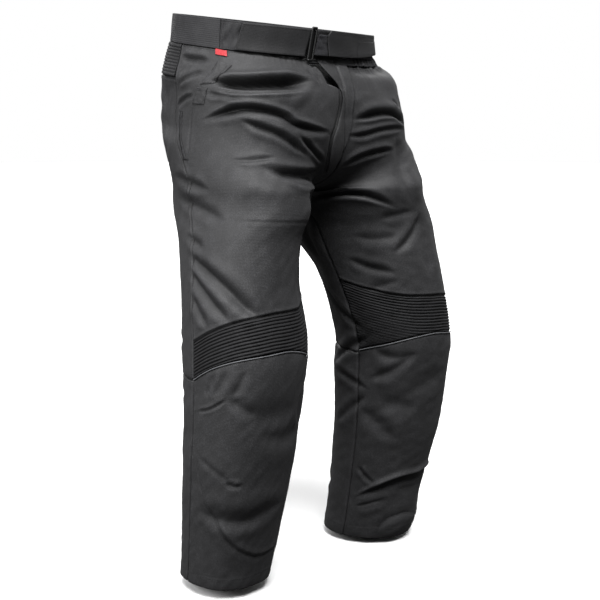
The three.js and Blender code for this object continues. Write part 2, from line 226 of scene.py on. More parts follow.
def bare(u: Array, z: Array, side: float) -> Array:
    """The outer face before folds.

    An upper ring (half width times sine, depth times cosine) turns into a leg ring below the hips, by a
    weight that grows as the cube of the way down to the crotch near the middle and sooner at the sides. The
    leg's own taper is eased in over 70 mm below the crotch, so that no line shows across the thigh there.

    Args:
        u: 0 centre front or inseam, 0.5 outseam, 1 centre back.
        z: nominal height in millimetres.
        side: -1 right, 1 left.

    Returns:
        Points in millimetres, with a last axis of three.
    """
    u, z = np.broadcast_arrays(np.asarray(u, float), np.asarray(z, float))
    turn = smooth((CROTCH_Z - z) / 60)
    v = u + SIDE_TURN * np.sin(np.pi * u) ** 2 * (1 - turn)
    half, front, back, square, cleft = np.moveaxis(column(TORSO, z), -1, 0)
    theta = np.pi * v
    q = 1 - square * np.cos(4 * theta)
    tx = half * np.sin(theta) * q
    ty = -np.cos(theta) * np.where(theta < np.pi / 2, front, back) * q
    ty = ty + cleft * np.maximum(0, 1 - np.abs(u) / 0.2) ** 2
    below = CROTCH_Z - z
    eased = CROTCH_Z - below * smooth(below / TAPER)
    inner, outer, near_y, far_y, forward = np.moveaxis(column(LEG, eased), -1, 0)
    phi = 2 * np.pi * (v + LEG_TURN * turn)
    near = np.cos(np.pi * u) ** 2
    drop = np.clip(below / ARCH, 0, 1)
    inner = inner * (1 - (1 - np.sqrt(drop * (2 - drop))) * near**6)
    lq = 1 - 0.02 * np.cos(4 * phi)
    lx = (inner + outer) / 2 - (outer - inner) / 2 * np.cos(phi) * np.where(np.cos(phi) > 0, 1, lq)
    ly = (near_y + far_y) / 2 - np.sin(phi) * (far_y - near_y) / 2 * lq + forward * np.cos(phi)
    tau = np.clip((HIP_Z - z) / (HIP_Z - CROTCH_Z), 0, 1)
    early, late = 1.5 * tau**2 + tau**3 - 1.5 * tau**4, tau**3
    w = early + (late - early) * near**10
    y = (1 - w) * ty + w * ly
    sink = HIP_Z - (HIP_Z - CROTCH_Z) * (tau + tau**2 - tau**3)
    zin = np.where((z > HIP_Z) | (z < CROTCH_Z), z, sink)
    height = z + (zin - z) * near**2
    lean = WAIST_TILT * y * np.clip((z + 220) / 150, 0, 1)
    return np.stack([side * ((1 - w) * tx + w * lx), y, height + lean], -1)


def outward(u: Array, z: Array, side: float) -> Array:
    """Outward unit direction of the bare form, from differences along u and z.

    Args:
        u: place round the half.
        z: nominal height.
        side: -1 right, 1 left.

    Returns:
        Unit vectors, flat above the front panels' top.
    """
    a = bare(u + 0.004, z, side) - bare(u - 0.004, z, side)
    b = bare(u, z - 2.5, side) - bare(u, z + 2.5, side)
    n = np.cross(b, a) * side
    n[..., 2] = np.where(np.broadcast_to(z, n.shape[:-1]) > FRONT_TOP - 0.5, 0, n[..., 2])
    return n / np.maximum(np.linalg.norm(n, axis=-1, keepdims=True), 1e-9)


def round_at(g: Array, z: Array, off: Array) -> Array:
    """A point round the whole garment.

    Args:
        g: 0 centre front, 0.5 right side, 1 centre back, 1.5 left side, 2 centre front.
        z: nominal height.
        off: distance out from the bare form.

    Returns:
        Points in millimetres.
    """
    g, z, off = np.broadcast_arrays(np.asarray(g, float), np.asarray(z, float), np.asarray(off, float))
    k = np.mod(g, 2)
    right = k <= 1
    u = np.where(right, k, 2 - k)
    p, n = bare(u, z, 1.0), outward(u, z, 1.0)
    n[..., 0] = np.where((u < 0.002) | (u > 0.998), 0, n[..., 0])
    p = p + n * off[..., None]
    p[..., 0] *= np.where(right, -1, 1)
    return p


def steps(length: float, fine: float, coarse: float, rim: float) -> Array:
    """Places from 0 to 1 along a length, closer within `rim` of both ends.

    The spacing grows linearly from fine at the end to coarse at the rim, and the places are its running sum.

    Args:
        length: whole length in millimetres.
        fine: spacing at the ends.
        coarse: spacing in the middle.
        rim: how far the finer spacing reaches.

    Returns:
        Increasing places.
    """
    s = np.linspace(0, length, 4000)
    reach = np.clip(np.minimum(s, length - s) / rim, 0, 1)
    density = 1 / (fine + (coarse - fine) * reach)
    total = np.concatenate([[0], np.cumsum((density[1:] + density[:-1]) / 2 * np.diff(s))])
    count = max(2, int(round(total[-1])))
    return np.interp(np.linspace(0, total[-1], count + 1), total, s) / length


def ripple(x: Array, y: Array, size: float, seed: int) -> Array:
    """Smooth uneven waves: a sum of five plane waves of nearby length and set directions.

    Args:
        x: first coordinate in millimetres.
        y: second coordinate in millimetres.
        size: mean wave length in millimetres.
        seed: picks the directions and phases.

    Returns:
        Values from about -1 to 1.
    """
    rng = np.random.default_rng(seed)
    total = np.zeros(np.broadcast(x, y).shape)
    angles = rng.uniform(0, math.pi, 5)
    phases = rng.uniform(0, 6.28, 5)
    stretches = rng.uniform(0.7, 1.4, 5)
    for angle, phase, stretch in zip(angles, phases, stretches):
        wave = 2 * math.pi / (size * stretch)
        total += np.sin(wave * (x * math.cos(angle) + y * math.sin(angle)) + phase)
    return total / 3.0


def curve_through(points: Sequence[Pair], count: int) -> Array:
    """A smooth line through (u, z) points, uniform in the points' chord length.

    Args:
        points: the corners in order.
        count: how many samples.

    Returns:
        Array (count, 2) of (u, z).
    """
    p = np.array(points, float)
    flat = p * (GIRTH, 1.0)
    chord = np.concatenate([[0], np.cumsum(np.linalg.norm(np.diff(flat, axis=0), axis=1))])
    table = np.column_stack([chord, p])
    return column(table, np.linspace(0, chord[-1], count), falling=False)


@dataclass(frozen=True)
class Fold:
    """One crease line in the cloth: a trough with a ridge on one or both sides.

    The offset is depth times (minus a bell at the line, plus bells beside it), fading to nothing at both
    ends. `sharp` is the share of a pointed trough in the bell, `above` and `below` are the ridges' heights in
    depths. A lean over 0 makes the upper flank wider than the lower one, which then stands up as a lip. Paths
    run towards the outseam, or on from it to the back, so that above is above. A negative depth with no
    ridges is a broad swell.
    """

    path: tuple[Pair, ...]
    width: float
    depth: float
    above: float = 0.45
    below: float = 0.3
    sharp: float = 0.4
    lean: float = 0.0

    def offset(self, u: Array, z: Array) -> Array:
        """The fold's offset at every (u, z), in millimetres.

        Args:
            u: place round the half.
            z: nominal height.

        Returns:
            Offsets along the outward direction.
        """
        line = curve_through(self.path, 6 * len(self.path)) * (GIRTH, 1.0)
        px, pz = u * GIRTH, z
        reach = 5 * self.width
        box = ((px > line[:, 0].min() - reach) & (px < line[:, 0].max() + reach)
               & (pz > line[:, 1].min() - reach) & (pz < line[:, 1].max() + reach))
        out = np.zeros(u.shape)
        if not box.any():
            return out
        p = np.stack([px[box], pz[box]], -1)
        start, run = line[:-1], np.diff(line, axis=0)
        length = np.linalg.norm(run, axis=1)
        along = np.concatenate([[0], np.cumsum(length)])
        rel = p[:, None, :] - start[None]
        raw = (rel * run).sum(-1) / length**2
        t = np.clip(raw, 0, 1)
        gap = rel - t[..., None] * run
        k = np.argmin((gap**2).sum(-1), axis=1)
        row = np.arange(len(k))
        cross = (rel[..., 0] * run[:, 1] - rel[..., 1] * run[:, 0]) / length
        d = np.sign(cross[row, k]) * np.sqrt((gap[row, k] ** 2).sum(-1))
        s = (along[k] + t[row, k] * length[k]) / along[-1]
        ends = smooth(np.minimum(s, 1 - s) / FOLD_FADE)
        w = self.width * (0.5 + 0.5 * ends)
        high, low = w * (1 + self.lean), w * (1 - self.lean)
        flank = np.where(d < 0, high, low)
        point = np.exp(-np.abs(d) / (0.8 * flank))
        trough = (1 - self.sharp) * bell(d, flank) + self.sharp * point
        up = self.above * bell(d + RIDGE_AT * high, RIDGE_WIDTH * high)
        down = self.below * bell(d - RIDGE_AT * low, RIDGE_WIDTH * low)
        out[box] = self.depth * ends * (up + down - trough)
        return out


# Creases of the right leg, the one nearer the viewer, from waist to hem
RIGHT_FOLDS = (
    Fold(((0.540, -64), (0.540, -125), (0.540, -190)), 56, 9, 0.0, 0.0, 0.0),
    Fold(((0.492, -46), (0.420, -46), (0.350, -43)), 5, 5.3, 0.2, 0.6, 0.6),
    Fold(((0.480, -93), (0.426, -74), (0.362, -61)), 4, 3.8, 0.5, 0.5, 0.7),
    Fold(((0.484, -129), (0.440, -112), (0.398, -102)), 3.5, 3, 0.4, 0.5, 0.7),
    Fold(((0.355, -76), (0.266, -71), (0.204, -65), (0.144, -60), (0.095, -58)),
         9.6, 18.5, 0.4, 0.5, 0.5, 0.5),
    Fold(((0.350, -88), (0.266, -89), (0.204, -83), (0.120, -74)), 3.0, 4.8, 0.8, 0.3, 0.6),
    Fold(((0.365, -100), (0.310, -98), (0.262, -105)), 6, 3.8, 0.4, 0.2, 0.5, -0.3),
    Fold(((0.375, -148), (0.306, -126), (0.266, -117), (0.222, -117), (0.186, -124), (0.156, -141),
          (0.050, -154)),
         6.0, 9.6, 0.35, 0.45, 0.75, 0.25),
    Fold(((0.275, -136), (0.238, -147), (0.198, -159), (0.166, -179), (0.145, -194)),
         6, 6.5, 0.35, 0.5, 0.6, 0.2),
    Fold(((0.162, -156), (0.150, -165), (0.116, -185), (0.065, -201)), 4, 4.9, 0.4, 0.4, 0.7),
    Fold(((0.368, -213), (0.306, -208), (0.235, -198)), 3.5, 3, 0.6, 0.4, 0.7),
    Fold(((0.305, -219), (0.252, -226), (0.200, -227), (0.140, -224), (0.080, -214)),
         8.5, 10.6, 0.5, 0.4, 0.7, 0.2),
    Fold(((0.260, -240), (0.210, -247), (0.150, -244)), 6, 3, 0.3, 0.3, 0.5),
    Fold(((0.560, -238), (0.490, -251), (0.440, -262)), 7, 4.2, 0.5, 0.4, 0.6),
    Fold(((0.550, -273), (0.468, -290), (0.402, -311)), 8, 4.2, 0.5, 0.4, 0.6),
    Fold(((0.526, -334), (0.490, -342), (0.456, -354)), 7, 3.4, 0.5, 0.4, 0.6),
    Fold(((0.520, -360), (0.400, -405), (0.334, -440), (0.285, -460)), 9, 9.1, 0.35, 0.35, 0.5),
    Fold(((0.515, -383), (0.428, -432), (0.372, -464)), 8, 6.0, 0.35, 0.35, 0.5),
    Fold(((0.500, -425), (0.440, -474)), 7, 3.6, 0.5, 0.4, 0.6),
    Fold(((0.205, -255), (0.165, -285), (0.135, -335)), 13, 6.8, 0.2, 0.2, 0),
    Fold(((0.430, -303), (0.340, -308), (0.220, -311), (0.110, -318)), 2.2, 0.8, 0.2, 0.6, 0.7),
    Fold(((0.420, -540), (0.435, -562), (0.452, -584)), 6, 2.2, 0.4, 0.4, 0.4),
    Fold(((0.385, -532), (0.400, -556), (0.428, -584)), 6, 2.0, 0.5, 0.4, 0.4),
    Fold(((0.340, -532), (0.355, -558), (0.372, -580)), 6, 2.4, 0.4, 0.3, 0.3),
    Fold(((0.376, -577), (0.432, -599), (0.485, -609)), 2.2, 1.8, 0.6, 0.3, 0.7),
    Fold(((0.300, -610), (0.340, -596), (0.380, -578)), 8, 3.0, 0.2, 0.4, 0.3),
    Fold(((0.350, -722), (0.398, -704), (0.470, -682)), 5, 1.5, 0.4, 0.3, 0.6),
    Fold(((0.320, -724), (0.345, -726), (0.372, -719)), 4, 2.4, 0.6, 0.2, 0.4),
    Fold(((0.150, -772), (0.234, -784), (0.296, -793), (0.370, -789), (0.475, -776)),
         14, 5.4, 0.45, 0.35, 0.35, 0.25),
    Fold(((0.120, -650), (0.220, -655), (0.300, -640)), 14, 3, 0.3, 0.3, 0.0),
    Fold(((0.080, -560), (0.130, -600), (0.140, -650)), 9, 3.6, 0.3, 0.3, 0.2),
    Fold(((0.180, -600), (0.270, -615), (0.360, -600)), 20, 2.6, 0.3, 0.3, 0.0),
    Fold(((0.120, -862), (0.240, -866), (0.340, -832), (0.432, -755)), 5, 1.4, 0.8, 0.1, 0.2),
    Fold(((0.620, -268), (0.800, -246), (0.930, -228)), 12, 8.4, 0.5, 0.3, 0.6),
    Fold(((0.620, -344), (0.800, -308), (0.950, -286)), 10, 6.8, 0.4, 0.3, 0.6),
    Fold(((0.600, -400), (0.760, -386), (0.900, -365)), 12, 4.6, 0.3, 0.3, 0.4),
    Fold(((0.550, -503), (0.750, -518), (0.940, -508)), 9, 9.1, 0.5, 0.4, 0.6),
    Fold(((0.580, -462), (0.740, -478), (0.900, -472)), 8, 5.3, 0.4, 0.4, 0.5),
    Fold(((0.550, -590), (0.750, -602), (0.950, -590)), 9, 8.4, 0.5, 0.4, 0.6),
    Fold(((0.580, -646), (0.740, -656), (0.920, -640)), 9, 5.3, 0.4, 0.3, 0.5),
    Fold(((0.570, -764), (0.750, -735), (0.920, -712)), 11, 7.6, 0.4, 0.3, 0.6),
    Fold(((0.560, -848), (0.720, -822), (0.900, -806)), 10, 5.3, 0.4, 0.3, 0.5),
    Fold(((0.640, -128), (0.780, -132), (0.900, -118)), 12, 5.3, 0.3, 0.3, 0.1),
    Fold(((0.620, -90), (0.600, -130), (0.620, -175)), 26, 5.3, 0, 0, 0),
    Fold(((0.013, -52), (0.016, -80), (0.018, -110), (0.033, -138), (0.053, -163), (0.057, -186),
          (0.050, -230)),
         3.4, 6.5, 0.0, 0.0, 0.3),
    Fold(((0.070, -62), (0.086, -50), (0.112, -42)), 5, 2.0, 0.5, 0.5, 0.4),
    Fold(((0.066, -46), (0.078, -38), (0.096, -34)), 4, 1.6, 0.5, 0.4, 0.4),
    Fold(((0.086, -178), (0.096, -260), (0.108, -340), (0.116, -420), (0.120, -500)), 45, 14, 0.0, 0.0, 0.0),
    Fold(((0.080, -228), (0.220, -233), (0.380, -237)), 22, 4.5, 0.0, 0.0, 0.0),
    Fold(((0.060, -300), (0.220, -304), (0.400, -306)), 26, -3.5, 0.0, 0.0, 0.0),
)

# Creases of the left leg
LEFT_FOLDS = (
    Fold(((0.120, -60), (0.240, -55), (0.340, -56), (0.470, -62)), 22, -10.5, 0.0, 0.0, 0.0),
    Fold(((0.020, -132), (0.072, -121), (0.108, -115), (0.150, -115), (0.186, -127), (0.235, -144)),
         6.5, 9.5, 0.4, 0.45, 0.6, 0.25),
    Fold(((0.165, -84), (0.178, -90), (0.186, -103)), 3.2, 3.0, 0.3, 0.5, 0.5),
    Fold(((0.000, -158), (0.056, -156), (0.102, -148), (0.154, -144), (0.200, -147)),
         4.2, 4.6, 0.6, 0.4, 0.6),
    Fold(((0.006, -207), (0.046, -193), (0.088, -186), (0.138, -182), (0.170, -185)),
         4.5, 5.5, 0.7, 0.4, 0.6),
    Fold(((0.030, -292), (0.056, -278), (0.100, -272), (0.130, -273), (0.156, -279), (0.198, -298)),
         5.5, 6.5, 0.5, 0.4, 0.6, 0.2),
    Fold(((0.140, -320), (0.170, -313), (0.200, -309), (0.240, -303)), 6, 2.6, 0.4, 0.4, 0.4),
    Fold(((0.070, -348), (0.120, -352), (0.180, -346)), 7, 1.8, 0.5, 0.3, 0.5),
    Fold(((0.150, -380), (0.196, -358), (0.234, -333), (0.270, -306)), 6, 4.4, 0.7, 0.3, 0.5),
    Fold(((0.150, -150), (0.200, -200), (0.234, -256), (0.250, -299)), 10, 4, 0.1, 0.1, 0.2),
    Fold(((0.236, -430), (0.250, -360), (0.266, -300)), 14, 3.4, 0.2, 0.2, 0.1),
    Fold(((0.045, -388), (0.090, -404), (0.150, -412)), 7, 2.6, 0.6, 0.3, 0.5),
    Fold(((0.060, -446), (0.158, -424)), 6, 1.8, 0.3, 0.3, 0.4),
    Fold(((0.340, -400), (0.380, -320), (0.420, -250)), 12, 4.5, 0.3, 0.3, 0.3),
    Fold(((0.380, -458), (0.420, -430), (0.480, -380)), 8, 4.5, 0.4, 0.3, 0.5),
    Fold(((0.380, -584), (0.360, -560), (0.340, -534)), 6, 2.6, 0.4, 0.3, 0.4),
    Fold(((0.448, -586), (0.420, -566), (0.400, -540)), 5, 2.6, 0.4, 0.4, 0.4),
    Fold(((0.040, -552), (0.090, -566), (0.170, -560)), 8, 3.0, 0.3, 0.4, 0.4),
    Fold(((0.030, -610), (0.080, -596), (0.150, -566)), 8, 3.2, 0.3, 0.4, 0.3),
    Fold(((0.005, -660), (0.064, -693), (0.130, -728)), 12, 2.4, 0.3, 0.3, 0.2),
    Fold(((0.060, -660), (0.120, -655), (0.190, -668)), 16, 3.0, 0.3, 0.3, 0.0),
    Fold(((0.018, -779), (0.050, -800), (0.085, -815)), 4, 2.2, 0.4, 0.4, 0.4),
    Fold(((0.020, -848), (0.088, -824), (0.158, -807), (0.248, -804), (0.310, -800), (0.390, -800)),
         9, 8.5, 0.7, 0.1, 0.6, -0.5),
    Fold(((0.150, -828), (0.240, -830), (0.330, -824)), 8, 2.2, 0.4, 0.4, 0.4, -0.2),
    Fold(((0.030, -868), (0.080, -854), (0.150, -844)), 7, 1.8, 0.5, 0.4, 0.5),
    Fold(((0.115, -922), (0.160, -888), (0.222, -879), (0.324, -888)), 8, 2.0, 0.5, 0.3, 0.4, 0.2),
    Fold(((0.120, -640), (0.200, -620), (0.280, -600)), 16, 2.6, 0.3, 0.3, 0.0),
    Fold(((0.630, -262), (0.800, -250), (0.930, -236)), 12, 8.5, 0.5, 0.3, 0.6),
    Fold(((0.620, -336), (0.760, -318), (0.860, -306)), 10, 5.5, 0.4, 0.3, 0.6),
    Fold(((0.960, -400), (0.955, -345), (0.980, -300)), 8, 4.5, 0.4, 0.4, 0.5),
    Fold(((0.560, -508), (0.700, -512), (0.840, -504)), 9, 7.5, 0.5, 0.4, 0.6),
    Fold(((0.600, -470), (0.720, -474), (0.830, -466)), 8, 5.0, 0.4, 0.4, 0.5),
    Fold(((0.560, -598), (0.700, -596), (0.840, -590)), 9, 7.5, 0.5, 0.4, 0.6),
    Fold(((0.600, -652), (0.720, -648), (0.830, -640)), 9, 4.8, 0.4, 0.3, 0.5),
    Fold(((0.580, -770), (0.720, -756), (0.850, -748)), 11, 5.5, 0.4, 0.3, 0.6),
    Fold(((0.580, -852), (0.740, -836), (0.900, -830)), 10, 4.5, 0.4, 0.3, 0.5),
    Fold(((0.620, -140), (0.760, -128), (0.880, -122)), 12, 4.5, 0.3, 0.3, 0.1),
    Fold(((0.870, -592), (0.950, -560), (1.040, -528)), 7, 4.6, 0.5, 0.4, 0.6),
    Fold(((0.860, -600), (0.940, -608), (1.040, -630)), 6, 3.0, 0.5, 0.4, 0.6),
    Fold(((0.860, -436), (0.950, -482), (1.030, -520)), 7, 4.0, 0.5, 0.4, 0.6),
    Fold(((0.900, -706), (0.960, -676), (1.040, -636)), 7, 3.0, 0.5, 0.4, 0.6),
    Fold(((0.880, -350), (0.880, -430), (0.880, -520), (0.880, -610)), 55, 11, 0.0, 0.0, 0.0),
    Fold(((0.080, -428), (0.200, -432), (0.340, -436)), 58, -9, 0.0, 0.0, 0.0),
    Fold(((0.030, -37), (0.120, -38), (0.260, -39)), 7, 4.5, 0.0, 0.2, 0.2),
    Fold(((0.000, -262), (0.160, -265), (0.340, -265)), 27, -5.5, 0.0, 0.0, 0.0),
    Fold(((0.060, -366), (0.200, -370), (0.340, -372)), 46, -5, 0.0, 0.0, 0.0),
    Fold(((0.120, -905), (0.250, -905), (0.400, -900)), 40, -9, 0.0, 0.0, 0.0),
    Fold(((0.220, -192), (0.320, -194), (0.500, -200)), 26, -7, 0.0, 0.0, 0.0),
    Fold(((0.260, -264), (0.360, -266), (0.520, -266)), 24, 4, 0.0, 0.0, 0.0),
)


@dataclass(frozen=True)
class Seam:
    """A topstitched line on a panel, in one row or two."""

    panel: str
    path: tuple[Pair, ...]
    apart: float = 0.0

    def rows(self) -> list[Array]:
        """The rows, each moved half the spacing to its own side.

        Returns:
            Dense (u, z) lines, one or two.
        """
        line = curve_through(self.path, 260)
        if not self.apart:
            return [line]
        flat = np.gradient(line * (GIRTH, 1.0), axis=0)
        flat /= np.linalg.norm(flat, axis=1, keepdims=True)
        aside = np.stack([-flat[:, 1] / GIRTH, flat[:, 0]], -1) * self.apart / 2
        return [line + aside, line - aside]


# Topstitched lines that are not borders, and the rows along the borders: panel, border, distance in
RIGHT_SEAMS = (
    Seam("shin", ((0.432, -755), (0.384, -797), (0.336, -831), (0.278, -855), (0.224, -864), (0.184, -865),
                  (0.106, -863), (0.03, -862)), 5.0),
    Seam("shin", ((0.470, -690), (0.452, -730), (0.432, -755))),
    Seam("shin", ((0.376, -579), (0.432, -601), (0.490, -609))),
    Seam("thigh", ((0.402, -120), (0.409, -140), (0.418, -157), (0.446, -187), (0.478, -213))),
    Seam("thigh", ((0.408, -99), (0.446, -111), (0.492, -127))),
    Seam("thigh", ((0.334, -44), (0.352, -65), (0.379, -84))),
    Seam("calf", ((0.53, -640), (0.60, -700), (0.62, -780), (0.60, -860)), 5.0),
)
LEFT_SEAMS = (
    Seam("shin", ((0.122, -918), (0.134, -900), (0.160, -885), (0.222, -879), (0.324, -891), (0.420, -860),
                  (0.480, -800)), 5.0),
    Seam("shin", ((0.020, -862), (0.048, -860), (0.130, -844))),
    Seam("thigh", ((0.402, -120), (0.409, -140), (0.418, -157), (0.446, -187), (0.478, -213))),
    Seam("thigh", ((0.252, -41), (0.240, -68), (0.228, -97))),
    Seam("thigh", ((0.246, -54), (0.240, -80), (0.234, -108))),
    Seam("thigh", ((0.054, -29), (0.044, -46), (0.038, -68), (0.027, -110), (0.024, -138), (0.016, -163))),
    Seam("calf", ((0.53, -640), (0.60, -700), (0.62, -780), (0.60, -860)), 5.0),
)
BORDER_ROWS = (
    ("thigh", 1, 3.6), ("thigh", 3, 3.8), ("thigh", 0, 3.4), ("seat", 0, 3.6), ("seat", 2, 3.8),
    ("knee", 0, 1.6), ("shin", 0, 3.8), ("shin", 3, 3.8), ("shin", 1, 20.5), ("calf", 1, 20.5),
    ("shin", 1, 2.2), ("calf", 1, 2.2), ("seat", 1, 3.4), ("calf", 0, 3.4),
)


def write_mesh(name: str, points: Array, quads: Array, uv: Array | None = None) -> bpy.types.Object:
    """Makes an object from points in millimetres and four-sided faces.

    Args:
        name: the object's name.
        points: (n, 3) in millimetres.
        quads: (m, 4) indices, turned outward.
        uv: (n, 2) cloth coordinates in metres, or none.

    Returns:
        The linked object.
    """
    mesh = bpy.data.meshes.new(name)
    mesh.vertices.add(len(points))
    mesh.vertices.foreach_set("co", (points * MM).astype(np.float32).ravel())
    mesh.loops.add(quads.size)
    mesh.loops.foreach_set("vertex_index", quads.astype(np.int32).ravel())
    mesh.polygons.add(len(quads))
    mesh.polygons.foreach_set("loop_start", np.arange(0, quads.size, quads.shape[1], dtype=np.int32))
    mesh.polygons.foreach_set("use_smooth", np.ones(len(quads), bool))
    if uv is not None:
        layer = mesh.uv_layers.new(name="Cloth")
        layer.data.foreach_set("uv", uv[quads.ravel()].astype(np.float32).ravel())
    mesh.update(calc_edges=True)
    mesh.validate()
    obj = bpy.data.objects.new(name, mesh)
    bpy.context.scene.collection.objects.link(obj)
    return obj


def shell(name: str, outer: Array, inner: Array, uv: Array) -> bpy.types.Object:
    """A closed sheet between an outer and an inner grid of points, joined round the rim.

    Args:
        name: the object's name.
        outer: (rows, columns, 3) in millimetres.
        inner: the same shape, inside it.
        uv: (rows, columns, 2) cloth coordinates in metres.

    Returns:
        The linked object.
    """
    rows, cols = outer.shape[:2]
    index = np.arange(rows * cols).reshape(rows, cols)
    back = index + rows * cols

    def strip(a: Array, b: Array) -> Array:
        """Quads between two equal runs of indices."""
        return np.stack([a[:-1], a[1:], b[1:], b[:-1]], -1).reshape(-1, 4)

    front = np.stack([index[:-1, :-1], index[:-1, 1:], index[1:, 1:], index[1:, :-1]], -1).reshape(-1, 4)
    rear = np.stack([back[:-1, :-1], back[1:, :-1], back[1:, 1:], back[:-1, 1:]], -1).reshape(-1, 4)
    rims = [
        strip(back[0], index[0]),
        strip(index[-1], back[-1]),
        strip(index[:, 0], back[:, 0]),
        strip(back[:, -1], index[:, -1]),
    ]
    quads = np.concatenate([front, rear, *rims])
    i, j = rows // 2, cols // 2
    face = np.cross(outer[i, j + 1] - outer[i, j], outer[i + 1, j] - outer[i, j])
    if face @ (outer[i, j] - inner[i, j]) < 0:
        quads = quads[:, ::-1]
    points = np.concatenate([outer.reshape(-1, 3), inner.reshape(-1, 3)])
    return write_mesh(name, points, quads, np.concatenate([uv.reshape(-1, 2)] * 2))


def tube_quads(rings: int, sides: int, loop: bool = False) -> Array:
    """Quads round a tube of rings of points, its last ring joined to the first in a loop.

    Args:
        rings: how many rings.
        sides: points in each.
        loop: whether the tube closes on itself.

    Returns:
        (n, 4) indices.
    """
    k, s = np.meshgrid(np.arange(rings if loop else rings - 1), np.arange(sides), indexing="ij")
    here, there, turned = k * sides, (k + 1) % rings * sides, (s + 1) % sides
    return np.stack([here + s, here + turned, there + turned, there + s], -1).reshape(-1, 4)


def swept(line: Array, radius: float, sides: int, flat: float = 1.0, loop: bool = False) -> Arrays:
    """A tube of oval section along a line: centre plus radius times (cosine, flat times sine) in the section.

    Args:
        line: (n, 3) points in millimetres.
        radius: half width of the section.
        sides: points round it.
        flat: half height over half width.
        loop: whether the line closes on itself.

    Returns:
        Points and quads; open ends are drawn in to a tip.
    """
    ahead = np.roll(line, -1, 0) - np.roll(line, 1, 0)
    if not loop:
        ahead[0], ahead[-1] = line[1] - line[0], line[-1] - line[-2]
    along = ahead / np.linalg.norm(ahead, axis=1, keepdims=True)
    up = np.where(np.abs(along[:, 2:3]) > 0.9, (0.0, 1.0, 0.0), (0.0, 0.0, 1.0))
    a = np.cross(along, up)
    a /= np.linalg.norm(a, axis=1, keepdims=True)
    b = np.cross(a, along)
    t = np.linspace(0, 2 * math.pi, sides, endpoint=False)
    scale = np.full(len(line), radius)
    if not loop:
        scale[[0, -1]] *= 0.02
    ring = a[:, None] * np.cos(t)[None, :, None] + b[:, None] * (flat * np.sin(t))[None, :, None]
    points = line[:, None] + ring * scale[:, None, None]
    return points.reshape(-1, 3), tube_quads(len(line), sides, loop)


def beads(line: Array, normal: Array, pitch: float, length: float, radius: float) -> Arrays:
    """Stitches along a line: a small spindle at every pitch, four rings of four points.

    Args:
        line: (n, 3) dense points in millimetres.
        normal: (n, 3) outward directions there.
        pitch: distance from stitch to stitch.
        length: length of one stitch.
        radius: its half thickness.

    Returns:
        Points and quads of all of them.
    """
    run = np.concatenate([[0], np.cumsum(np.linalg.norm(np.diff(line, axis=0), axis=1))])
    at = np.arange(pitch / 2, run[-1] - pitch / 4, pitch)
    if not len(at):
        return np.zeros((0, 3)), np.zeros((0, 4), int)

    def pick(values: Array, s: Array) -> Array:
        """Values interpolated at the distances s."""
        return np.stack([np.interp(s, run, values[:, i]) for i in range(3)], -1)

    centre, out = pick(line, at), pick(normal, at)
    along = pick(line, at + 0.5) - pick(line, at - 0.5)
    along /= np.maximum(np.linalg.norm(along, axis=1, keepdims=True), 1e-6)
    side = np.cross(out, along)
    reach = np.array([-0.5, -0.32, 0.32, 0.5]) * length
    girth = np.array([0.25, 1.0, 1.0, 0.25]) * radius
    sink = np.array([-0.9, 0.2, 0.2, -0.9]) * radius
    t = np.linspace(0, 2 * math.pi, 4, endpoint=False) + math.pi / 4
    across, rise = np.cos(t)[None, None, :, None], np.sin(t)[None, None, :, None]
    ring = side[:, None, None] * across + out[:, None, None] * rise
    points = (centre[:, None, None] + along[:, None, None] * reach[None, :, None, None]
              + out[:, None, None] * sink[None, :, None, None] + ring * girth[None, :, None, None])
    one = np.concatenate([tube_quads(4, 4), [[3, 2, 1, 0], [12, 13, 14, 15]]])
    quads = (one[None] + (np.arange(len(at)) * 16)[:, None, None]).reshape(-1, 4)
    return points.reshape(-1, 3), quads


def joined(name: str, parts: Sequence[Arrays]) -> bpy.types.Object:
    """One object from several (points, quads), their faces turned outward by Blender.

    Args:
        name: the object's name.
        parts: the pieces.

    Returns:
        The linked object.
    """
    points, quads, start = [], [], 0
    for p, q in parts:
        points.append(p)
        quads.append(q + start)
        start += len(p)
    obj = write_mesh(name, np.concatenate(points), np.concatenate(quads))
    turn_out(obj)
    return obj


def turn_out(obj: bpy.types.Object) -> None:
    """Turns every face of a closed mesh outward.

    Args:
        obj: the mesh object.
    """
    work = bmesh.new()
    work.from_mesh(obj.data)
    bmesh.ops.recalc_face_normals(work, faces=work.faces)
    work.to_mesh(obj.data)
    work.free()


def add(tree: bpy.types.NodeTree, kind: str, links: dict[str | int, Socket] | None = None,
        **settings: object) -> bpy.types.Node:
    """Adds a node, sets its properties or input values by name, and links its inputs.

    Args:
        tree: the node tree.
        kind: the node's type name.
        links: input name or number, and the socket that feeds it.
        settings: property names, or input names with _ for a space.

    Returns:
        The node.
    """
    made = tree.nodes.new(kind)
    for name, value in settings.items():
        if hasattr(made, name):
            setattr(made, name, value)
        else:
            made.inputs[name.replace("_", " ")].default_value = value
    for name, socket in (links or {}).items():
        tree.links.new(socket, made.inputs[name])
    return made


def noise(tree: bpy.types.NodeTree, spot: Socket, size: float, detail: float, rough: float = 0.5) -> Socket:
    """Cloudy noise, its scale worked out as the number of patches in a metre.

    Args:
        tree: the node tree.
        spot: coordinates in metres.
        size: of a patch, in millimetres.
        detail: octaves.
        rough: strength of the finer ones.

    Returns:
        Values from 0 to 1.
    """
    return add(tree, "ShaderNodeTexNoise", {"Vector": spot}, Scale=1 / (size * MM), Detail=detail,
               Roughness=rough).outputs["Fac"]


